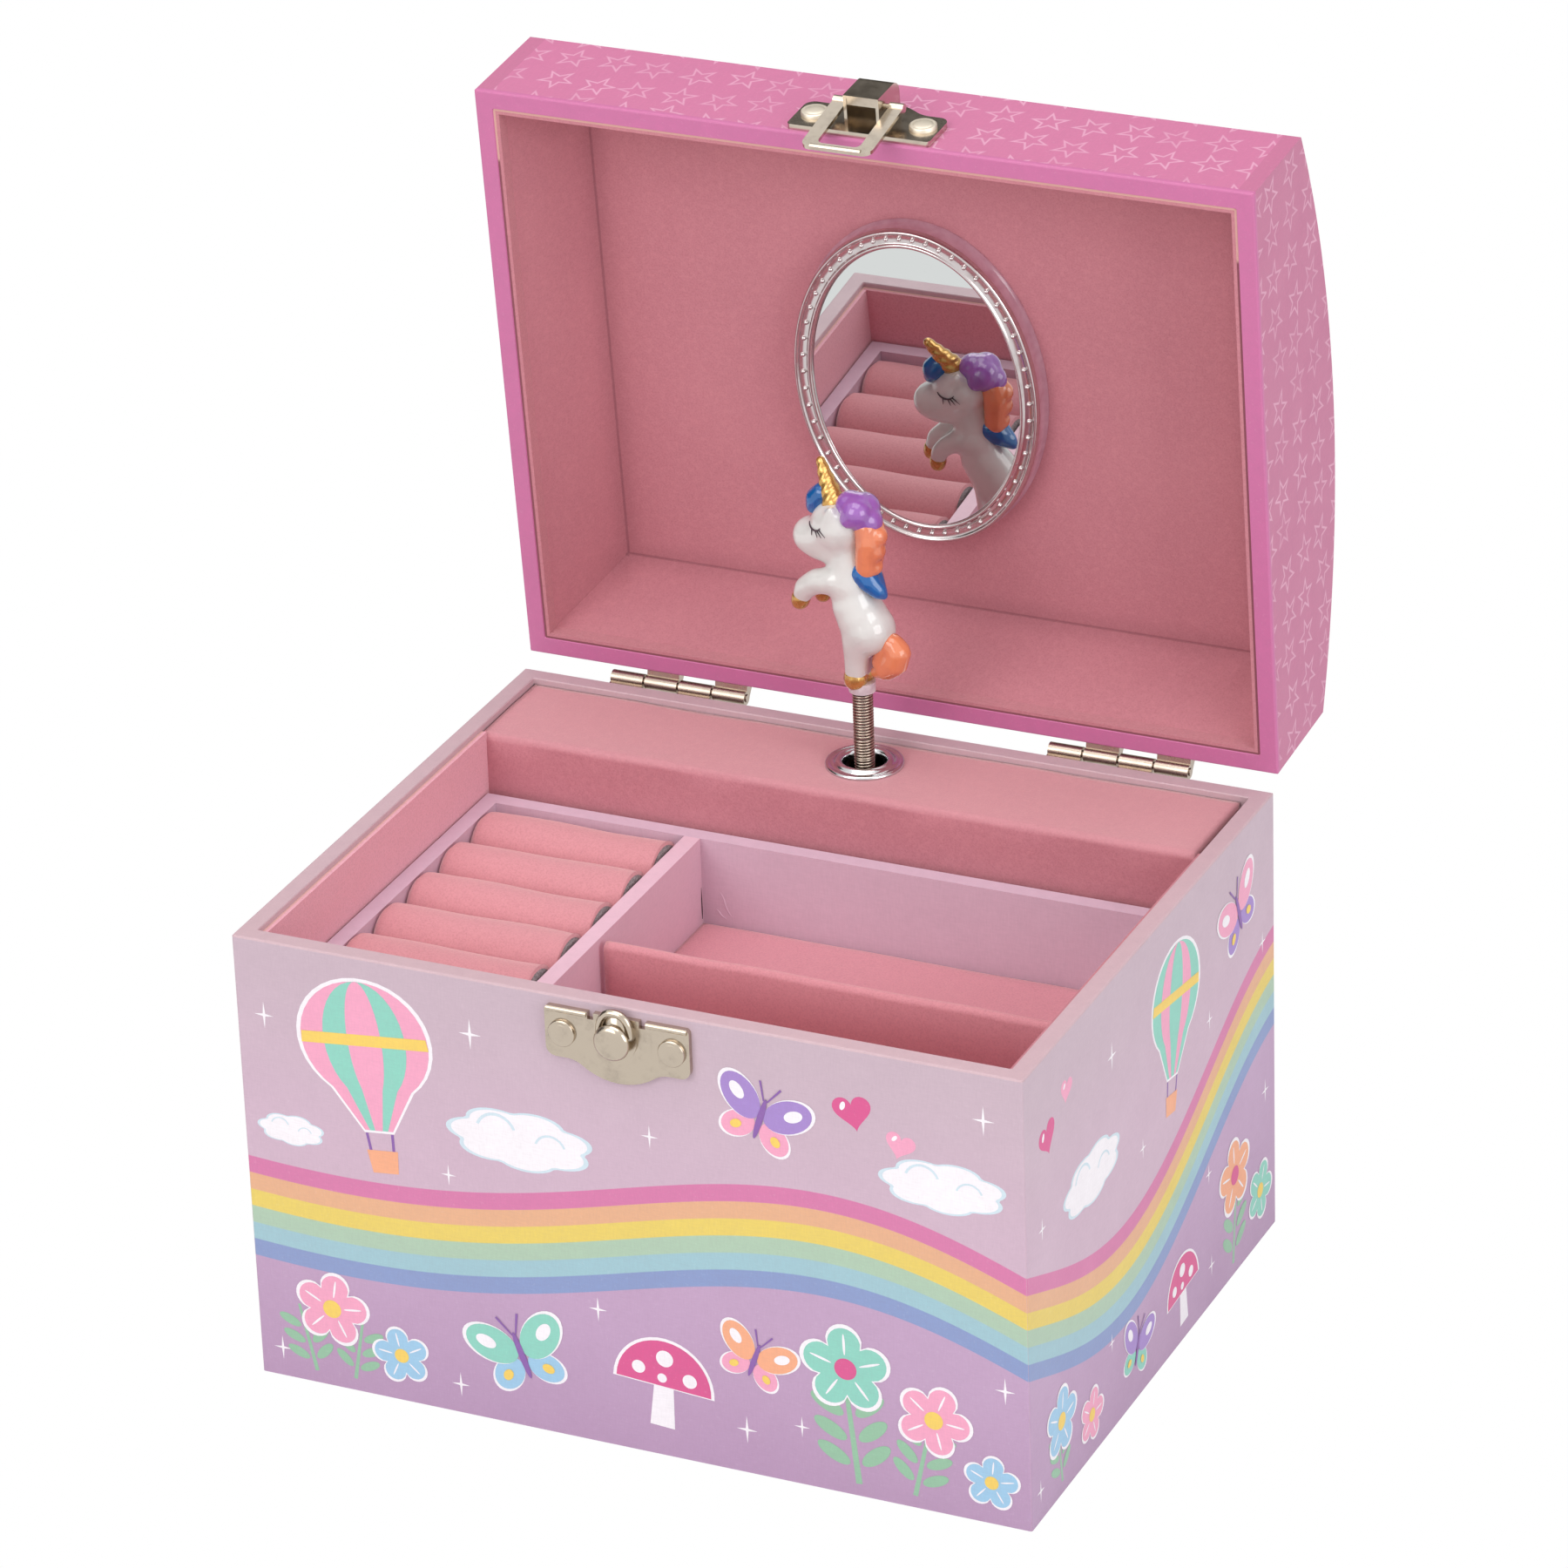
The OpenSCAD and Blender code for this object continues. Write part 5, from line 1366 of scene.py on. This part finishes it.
def coil(name, z0, z1, turn0, body):
    """A run of the coil spring between two heights, starting at an angle in degrees."""
    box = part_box("spring_root")
    outer = (box[1].x - box[0].x) / 2
    wire = 0.24 * MM
    pitch = 0.6 * MM
    reach = outer - wire
    turns = (z1 - z0) / pitch
    steps_a_turn = 22
    count = int(turns * steps_a_turn)
    path = []
    for k in range(count + 1):
        angle = math.radians(turn0) + 2 * math.pi * turns * k / count
        path.append(Vector((reach * math.cos(angle), SPINDLE_Y + reach * math.sin(angle),
                            z0 + (z1 - z0) * k / count)))
    bm = bmesh.new()
    tube(bm, path, wire, sides=7)
    piece = new_piece(name, bm, DULL_NICKEL, body)
    return piece


def wind_the_spring():
    """The spring in three runs: on the cylinder, across the bend, and under the figurine."""
    root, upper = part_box("spring_root"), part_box("spring_upper")
    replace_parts(coil("spring_lower", root[0].z, root[1].z, 0, "cylinder"), "spring_root")
    middle = coil("spring_middle", root[1].z, upper[0].z, 140, None)
    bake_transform(middle)
    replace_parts(middle, "spring_bend")
    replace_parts(coil("spring_top", upper[0].z, upper[1].z, 60, "figurine"), "spring_upper")
    dress(["figure_peg"], clear_plastic())


# ------------------------------------------------------------- mirror


def ellipse(centre, wide, tall, z, count):
    """Points round an ellipse at height z."""
    return [Vector((centre.x + wide * math.cos(a), centre.y + tall * math.sin(a), z))
            for a in angles(count)]


def frame_the_mirror():
    """A moulded oval frame: two bright rims, a beaded channel and a thin tinted flange."""
    low, high = shut_box("mirror_frame")
    centre = (low + high) / 2
    half_x, half_y = (high.x - low.x) / 2, (high.y - low.y) / 2
    front, back = low.z, high.z
    silver = plated("bright frame", "CFC6C6", 0.07, on_lid=True)
    steps = [(0.0, 1.3), (0.1, 0.5), (0.3, 0.12), (0.55, 0.0), (0.8, 0.12), (0.95, 0.4), (1.15, 0.5),
             (2.6, 0.5), (2.8, 0.4), (2.95, 0.12), (3.15, 0.0), (3.45, 0.06), (3.7, 0.35), (3.9, 0.9),
             (4.0, 2.0)]
    foot = [(-0.5 * MM, back), (-0.5 * MM, back - 0.5 * MM), (-0.1 * MM, back - 0.6 * MM)]
    profile = foot + [(inset * MM, front + sunk * MM) for inset, sunk in steps]
    foot_count = len(foot) + 1
    tinted_slot = 1
    tinted = mottled("tinted side", 0.5, 3.0, ("AE7486", "CDA3B1"), on_lid=True, Roughness=0.14,
                     Coat_Weight=0.4)
    bm = bmesh.new()
    rings = [ellipse(centre, half_x - inset, half_y - inset, z, 120) for inset, z in profile]
    loft(bm, rings[:foot_count], material=tinted_slot)
    loft(bm, rings[foot_count - 1:])
    open_with_the_lid(bm)
    moulding = new_piece("mirror_moulding", bm, [silver, tinted], "lid")
    beads = bmesh.new()
    bead = 0.5 * MM
    channel = 1.88 * MM  # from the frame's edge to the middle of the beads
    for spot in ellipse(centre, half_x - channel, half_y - channel, front + bead, 54):
        bmesh.ops.create_icosphere(beads, subdivisions=2, radius=bead,
                                   matrix=OPENING @ Matrix.Translation(spot))
    beading = new_piece("mirror_beads", beads, silver, "lid")
    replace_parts(moulding, "mirror_frame")
    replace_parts(beading, "mirror_frame")


def set_the_glass():
    """The mirror's glass, which sits nearly a degree out of true in its frame."""
    low, high = shut_box("mirror_glass")
    centre = (low + high) / 2
    steps = 6
    lean_x, lean_y = 0.002, -0.0145  # how much it rises for each step across and along
    rings = []
    for side, reaches in ((low.z, range(1, steps + 1)), (high.z, range(steps, 0, -1))):
        for reach in reaches:
            ring = []
            for a in angles(96):
                x = (high.x - centre.x) * math.cos(a) * reach / steps
                y = (high.y - centre.y) * math.sin(a) * reach / steps
                ring.append(Vector((centre.x + x, centre.y + y, side + lean_x * x + lean_y * y)))
            rings.append(ring)
    bm = bmesh.new()
    loft(bm, rings, cap_first=True, cap_last=True)
    open_with_the_lid(bm)
    piece = new_piece("mirror_face", bm, MIRROR, "lid", smooth=False)
    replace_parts(piece, "mirror_glass")


# ------------------------------------------------------------- the unicorn


class Moulding:
    """Builds one painted part of the figurine out of balls and limbs, in mm from the figurine's feet.
    Places are (forward, left, up) in the figurine's own directions."""

    TURN = math.radians(-8)  # it looks a little to one side
    HEIGHT = 44  # the whole figurine, in the mm that its places are given in

    def __init__(self):
        self.bm = bmesh.new()
        low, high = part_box("figure")
        self.scale = (high.z - low.z) / (self.HEIGHT * MM)
        self.feet = Vector((0, SPINDLE_Y, low.z))

    def spot(self, forward, left, up):
        """Where a place on the figurine is in the frame."""
        flat = Matrix.Rotation(self.TURN, 3, "Z") @ Vector((-forward, -left, up))
        return self.feet + flat * MM * self.scale

    def ball(self, forward, left, up, radius, stretch=(1, 1, 1), lean=0.0):
        """A ball, stretched and then leant forward by degrees."""
        shape = Matrix.Diagonal(Vector((*stretch, 1)))
        tilt = Matrix.Rotation(self.TURN, 4, "Z") @ Matrix.Rotation(math.radians(-lean), 4, "Y")
        place = Matrix.Translation(self.spot(forward, left, up)) @ tilt @ shape
        bmesh.ops.create_icosphere(self.bm, subdivisions=3, radius=radius * MM * self.scale,
                                   matrix=place)

    def limb(self, *stops):
        """A limb through stops of (forward, left, up, radius)."""
        for pair in zip(stops, stops[1:]):
            length = bmesh.new()
            for forward, left, up, radius in pair:
                bmesh.ops.create_icosphere(length, subdivisions=2, radius=radius * MM * self.scale,
                                           matrix=Matrix.Translation(self.spot(forward, left, up)))
            points = [v.co.copy() for v in length.verts]
            length.clear()
            hull = bmesh.ops.convex_hull(length, input=[length.verts.new(point) for point in points])
            inside = [g for g in hull["geom_interior"] if isinstance(g, bmesh.types.BMVert)]
            bmesh.ops.delete(length, geom=inside, context="VERTS")
            skin = bpy.data.meshes.new("limb")
            length.to_mesh(skin)
            length.free()
            self.bm.from_mesh(skin)
            bpy.data.meshes.remove(skin)

    def fuse(self, name, finish, grain, rounds):
        """Runs the balls together into one smooth skin."""
        mesh = bpy.data.meshes.new(name)
        self.bm.to_mesh(mesh)
        self.bm.free()
        rough = bpy.data.objects.new(name + "_rough", mesh)
        bpy.context.scene.collection.objects.link(rough)
        remesh = rough.modifiers.new("skin", "REMESH")
        remesh.mode = "VOXEL"
        remesh.voxel_size = grain * MM
        smooth = rough.modifiers.new("smooth", "CORRECTIVE_SMOOTH")
        smooth.iterations = rounds
        smooth.use_only_smooth = True
        view = bpy.context.evaluated_depsgraph_get()
        skin = bpy.data.meshes.new_from_object(rough.evaluated_get(view))
        skin.materials.clear()
        bpy.data.objects.remove(rough)
        piece = new_piece(name, skin, finish, "figurine")
        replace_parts(piece, "figure")


def cast_the_unicorn():
    """The figurine, part by part, each part in its own paint."""
    white = glossy_paint("white enamel", "D9D7D4", "CBC7C5")
    gold = glossy_paint("gold paint", "CF9F52", "A8793A", flecks=0.3, metallic=0.7, roughness=0.26)
    purple = glossy_paint("purple enamel", "9A62B4", "7E4B9C")
    orange = glossy_paint("orange enamel", "E5875F", "C8684A")
    blue = glossy_paint("blue enamel", "0A62AA", "064A82")
    cast_the_body(white)
    cast_the_hooves(gold)
    cast_the_horn(gold)
    cast_the_mane(purple, orange, blue)
    cast_the_tail(orange)
    close_the_eyes()


def cast_the_body(finish):
    """The trunk, neck, head and muzzle, the raised forelegs, the hind legs and the ears."""
    body = Moulding()
    body.ball(2.0, 0, 19.6, 4.6, (0.95, 0.95, 1.1), lean=6)
    body.ball(0.8, 0, 15.5, 4.7)
    body.ball(-1.8, 0, 11.0, 5.3, (1.0, 1.0, 0.95))
    body.ball(-0.5, 0, 13.2, 5.0)
    body.limb((2.2, 0, 22.0, 4.0), (2.6, 0, 26.6, 3.5), (3.8, 0, 29.6, 3.8))
    body.ball(4.1, 0, 31.0, 5.4, (1.06, 0.92, 1.0))
    body.limb((5.4, 0, 29.6, 4.5), (9.0, 0, 28.0, 4.1))
    body.ball(9.9, 0, 27.9, 4.0, (1.0, 0.95, 0.97))
    body.limb((9.0, 0, 26.9, 3.6), (5.6, 0, 26.6, 3.7))
    body.limb((3.8, 2.0, 20.6, 2.9), (8.0, 2.3, 19.7, 2.6), (10.4, 2.3, 17.9, 2.35),
              (11.4, 2.2, 15.9, 1.9))
    body.limb((3.8, -2.0, 20.8, 2.6), (7.2, -2.3, 19.3, 2.1), (8.9, -2.3, 17.6, 1.9),
              (9.4, -2.2, 15.8, 1.65))
    for side in (-1, 1):
        body.limb((-0.7, 1.9 * side, 9.6, 3.4), (0.1, 1.6 * side, 5.6, 2.5),
                  (0.5, 1.35 * side, 1.6, 2.2))
        body.limb((3.9, 3.0 * side, 33.6, 1.7), (3.4, 3.8 * side, 35.7, 0.9))
    body.fuse("unicorn_body", finish, grain=0.36, rounds=22)


def cast_the_hooves(finish):
    hooves = Moulding()
    hooves.limb((11.55, 2.2, 15.5, 1.95), (11.8, 2.2, 14.8, 1.8))
    hooves.limb((9.4, -2.2, 15.5, 1.75), (9.5, -2.2, 14.9, 1.65))
    for side in (-1, 1):
        hooves.limb((0.6, 1.3 * side, 0.8, 2.4), (0.55, 1.3 * side, 1.3, 2.35))
    hooves.fuse("unicorn_hooves", finish, grain=0.22, rounds=3)


def cast_the_horn(finish):
    """A tapering horn of three strands wound round a core."""
    horn = Moulding()
    foot = Vector((4.9, 0, 35.2))
    rise = Vector((0.6, -0.33, 1.0)).normalized()
    across = rise.orthogonal().normalized()
    length, foot_r, tip_r = 8.2, 2.5, 1.05
    strands, turns, steps = 3, 1.3, 30
    horn.limb((*foot, 2.3), (*(foot + length * rise), 0.95))
    horn.ball(*(foot + (length + 0.25) * rise), 0.95)
    for k in range(steps + 1):
        t = k / steps
        thick = foot_r + (tip_r - foot_r) * t
        for strand in range(strands):
            turned_by = Matrix.Rotation(2 * math.pi * (strand / strands + turns * t), 3, rise)
            horn.ball(*(foot + length * t * rise + 0.5 * thick * (turned_by @ across)), 0.5 * thick)
    horn.fuse("unicorn_horn", finish, grain=0.17, rounds=2)


def cast_the_mane(purple, orange, blue):
    """A purple crown, a blue forelock, and orange locks down the neck that end in blue."""
    mane = Moulding()
    mane.ball(1.3, 0, 35.8, 2.9, (1.0, 1.05, 0.95))
    for side in (1, -1):
        mane.ball(-0.8, 1.3 * side, 35.0, 3.15)
    mane.ball(-2.1, 0, 33.2, 3.1)
    mane.ball(-0.4, 0, 36.0, 2.6)
    for side in (-1, 1):
        mane.ball(0.1, 2.5 * side, 34.1, 1.9)
    mane.fuse("mane_purple", purple, grain=0.28, rounds=7)

    lock = Moulding()
    lock.limb((6.6, -0.4, 37.0, 1.4), (7.9, -0.6, 36.5, 2.25), (8.9, -0.6, 35.3, 2.4),
              (9.7, -0.4, 33.7, 1.6))
    lock.fuse("forelock_blue", blue, grain=0.25, rounds=3)

    locks = Moulding()
    for side in (1, -1):
        locks.limb((-2.6, side, 32.0, 2.4), (-2.9, side, 29.4, 2.5), (-2.3, 0.9 * side, 24.0, 2.2))
    locks.ball(-4.1, 0, 30.6, 2.2)
    locks.ball(-3.6, 0.2, 27.6, 2.3)
    locks.ball(-3.1, 0, 24.3, 2.0)
    locks.fuse("mane_orange", orange, grain=0.26, rounds=4)

    ends = Moulding()
    ends.limb((-1.4, 0.7, 22.8, 2.5), (-2.6, 0.6, 21.3, 2.3), (-4.4, 0.3, 19.6, 1.7),
              (-5.3, 0, 18.7, 0.9))
    ends.limb((-1.4, -0.8, 22.8, 2.4), (-2.8, -0.7, 21.1, 2.1), (-4.6, -0.2, 19.5, 1.3))
    ends.fuse("mane_blue", blue, grain=0.25, rounds=3)


def cast_the_tail(finish):
    tail = Moulding()
    tail.limb((-5.4, 0, 9.2, 1.9), (-7.0, 0, 8.9, 2.3), (-8.1, 0, 7.4, 2.6), (-7.4, 0, 5.4, 2.7))
    tail.limb((-7.4, 0, 5.4, 2.7), (-5.6, 0, 3.6, 2.2), (-3.4, 0, 2.6, 1.3))
    tail.limb((-5.4, 0, 7.6, 2.2), (-4.6, 0, 4.8, 2.1))
    tail.fuse("tail_orange", finish, grain=0.26, rounds=4)


def close_the_eyes():
    """A closed lid and four lashes on each side of the head."""
    dark = mottled("lash paint", 2.0, 2.0, ("3A2C34", "55424C"), Roughness=0.3)
    ahead, high = 4.1, 31.0  # the middle of the head's ball
    half_long, half_wide, half_high = 5.72, 4.97, 5.4
    steps = 8
    guide = Moulding()
    bm = bmesh.new()
    for side in (-1, 1):
        arc = []
        for k in range(steps + 1):
            a = math.radians(205 + 130 * k / steps)
            forward = 6.5 + 0.5 * side - 1.95 * math.cos(a)
            up = 32.6 + 1.45 * math.sin(a)
            along, rise = (forward - ahead) / half_long, (up - high) / half_high
            flank = half_wide * math.sqrt(max(0.0, 1 - along ** 2 - rise ** 2))
            arc.append(guide.spot(forward, (flank + 0.05) * side, up))
        thickness = [0.09 * MM + 0.1 * MM * math.sin(math.pi * k / steps) for k in range(steps + 1)]
        tube(bm, arc, thickness, sides=6)
        for k, back in ((3, 0.0), (5, -0.5), (6, -0.95), (7, -1.45)):
            root = arc[k]
            tip = root + (guide.spot(back, 0.1 * side, -1.3) - guide.spot(0, 0, 0))
            tube(bm, [root, tip], [0.14 * MM, 0.05 * MM], sides=5)
    guide.bm.free()
    piece = new_piece("unicorn_lashes", bm, dark, "figurine")


# ------------------------------------------------------------- studio


def aim(obj, target):
    obj.rotation_euler = (Vector(target) - obj.location).to_track_quat("-Z", "Y").to_euler()


def area_light(name, place, target, size, power, colour=(1, 1, 1)):
    data = bpy.data.lights.new(name, "AREA")
    data.shape = "SQUARE"
    data.size = size
    data.energy = power
    data.color = colour
    light = bpy.data.objects.new(name, data)
    bpy.context.scene.collection.objects.link(light)
    light.location = place
    aim(light, target)
    return light


def white_for_the_eye(tree, plain, glow):
    """White where the camera, a reflection or a clear piece looks at it, and plain for the light."""
    path = outputs_of(tree, put(tree, "LightPath"))
    seen = maths("MAXIMUM", path["Is Camera Ray"], path["Is Glossy Ray"])
    seen = maths("MAXIMUM", seen, path["Is Transmission Ray"])
    return put(tree, "MixShader", i0=seen, i1=plain, i2=glow).outputs[0]


def dark_card(name, place, turn, wide, deep):
    """A dark card that only shows in reflections, to give the metal its dark edges."""
    finish, tree, shader = new_finish(name, Roughness=1.0, Specular_IOR_Level=0.0)
    cloud = noise(tree, put(tree, "TexCoord").outputs["Object"], 0.8, 2.0)
    tint(tree, shader, mixed(tree, cloud, (0.07, 0.065, 0.06, 1), (0.16, 0.15, 0.14, 1)))
    bm = bmesh.new()
    bmesh.ops.create_grid(bm, x_segments=1, y_segments=1, size=0.5)
    card = new_piece(name, bm, finish, None, smooth=False)
    card.scale = (wide, deep, 1)
    card.rotation_euler = [math.radians(angle) for angle in turn]
    card.location = place
    for ray in ("camera", "diffuse", "transmission", "shadow", "volume_scatter"):
        setattr(card, f"visible_{ray}", False)
    return card


def whiten_the_world():
    """White all round for the eye, and dimmer for the light it gives."""
    world = bpy.data.worlds.new("studio")
    bpy.context.scene.world = world
    world.use_nodes = True
    tree = world.node_tree
    tree.nodes.clear()
    dim = put(tree, "Background", Color=(1, 1, 1, 1), Strength=0.55).outputs[0]
    white = put(tree, "Background", Color=(1, 1, 1, 1), Strength=1.0).outputs[0]
    connect(tree, white_for_the_eye(tree, dim, white), put(tree, "OutputWorld").inputs["Surface"])


def lay_the_floor():
    """A wide pale floor that looks white to the eye."""
    finish = bpy.data.materials.new("pale floor")
    finish.use_nodes = True
    tree = finish.node_tree
    tree.nodes.clear()
    matt = put(tree, "BsdfDiffuse", Color=(0.82, 0.82, 0.82, 1)).outputs[0]
    glow = put(tree, "Emission", Color=(1, 1, 1, 1), Strength=1.0).outputs[0]
    connect(tree, white_for_the_eye(tree, matt, glow), put(tree, "OutputMaterial").inputs["Surface"])
    floor_level = -0.3 * MM
    bm = bmesh.new()
    bmesh.ops.create_circle(bm, cap_ends=True, segments=64, radius=3.0,
                            matrix=Matrix.Translation((0, 0, floor_level)))
    new_piece("floor", bm, finish, None, smooth=False)


def light_the_box():
    """Three soft lights, and two dark cards for the metal to reflect."""
    middle = (0, 0, 0.09)
    lights = [
        area_light("soft front light", (-0.45, -1.15, 0.85), middle, 0.9, 7.6, (1.0, 0.985, 0.965)),
        area_light("soft side light", (1.2, -0.5, 0.55), middle, 0.8, 6.3, (0.985, 0.99, 1.0)),
        area_light("soft top light", (0.0, -0.1, 1.3), middle, 1.0, 7.0)]
    dark_card("dark back", (0.0, 2.2, 1.0), (90, 0, 0), 5.0, 2.0)
    dark_card("dark side", (-1.9, 0.2, 0.8), (0, 90, 0), 1.6, 2.4)


def set_the_camera():
    """The camera looks down on the front and the right side, a little rolled."""
    width = CASE_HIGH.x - CASE_LOW.x
    turn, rise, roll = [math.radians(angle) for angle in (25.3696, 26.1322, -2.1037)]
    aside, above, away = 0.0093, 0.6217, 9.1022  # in widths of the case
    focal_length, render_width = 8577.33, 1800  # in the render's pixels
    back = Vector((math.sin(turn) * math.cos(rise), -math.cos(turn) * math.cos(rise), math.sin(rise)))
    level = (-back).cross(Vector((0, 0, 1))).normalized()
    plumb = level.cross(-back)
    right = level * math.cos(roll) + plumb * math.sin(roll)
    up = plumb * math.cos(roll) - level * math.sin(roll)
    place = (right * aside + up * above + back * away) * width
    data = bpy.data.cameras.new("camera")
    data.sensor_width = 36
    data.lens = focal_length * data.sensor_width / render_width
    data.clip_start = 0.05
    data.clip_end = 20
    camera = bpy.data.objects.new("camera", data)
    bpy.context.scene.collection.objects.link(camera)
    turned = Matrix((right, up, back)).transposed().to_4x4()
    camera.matrix_world = Matrix.Translation(place) @ turned
    bpy.context.scene.camera = camera


bpy.context.scene.view_settings.view_transform = "Standard"
paper_the_case()
paper_the_lid()
print_the_walls()
line_the_case()
cover_the_movement()
line_the_lid()
fill_the_tray()
finish_the_metal()
stud_heads()
form_the_knob()
set_the_eyelet()
wind_the_spring()
frame_the_mirror()
set_the_glass()
cast_the_unicorn()
whiten_the_world()
lay_the_floor()
light_the_box()
set_the_camera()
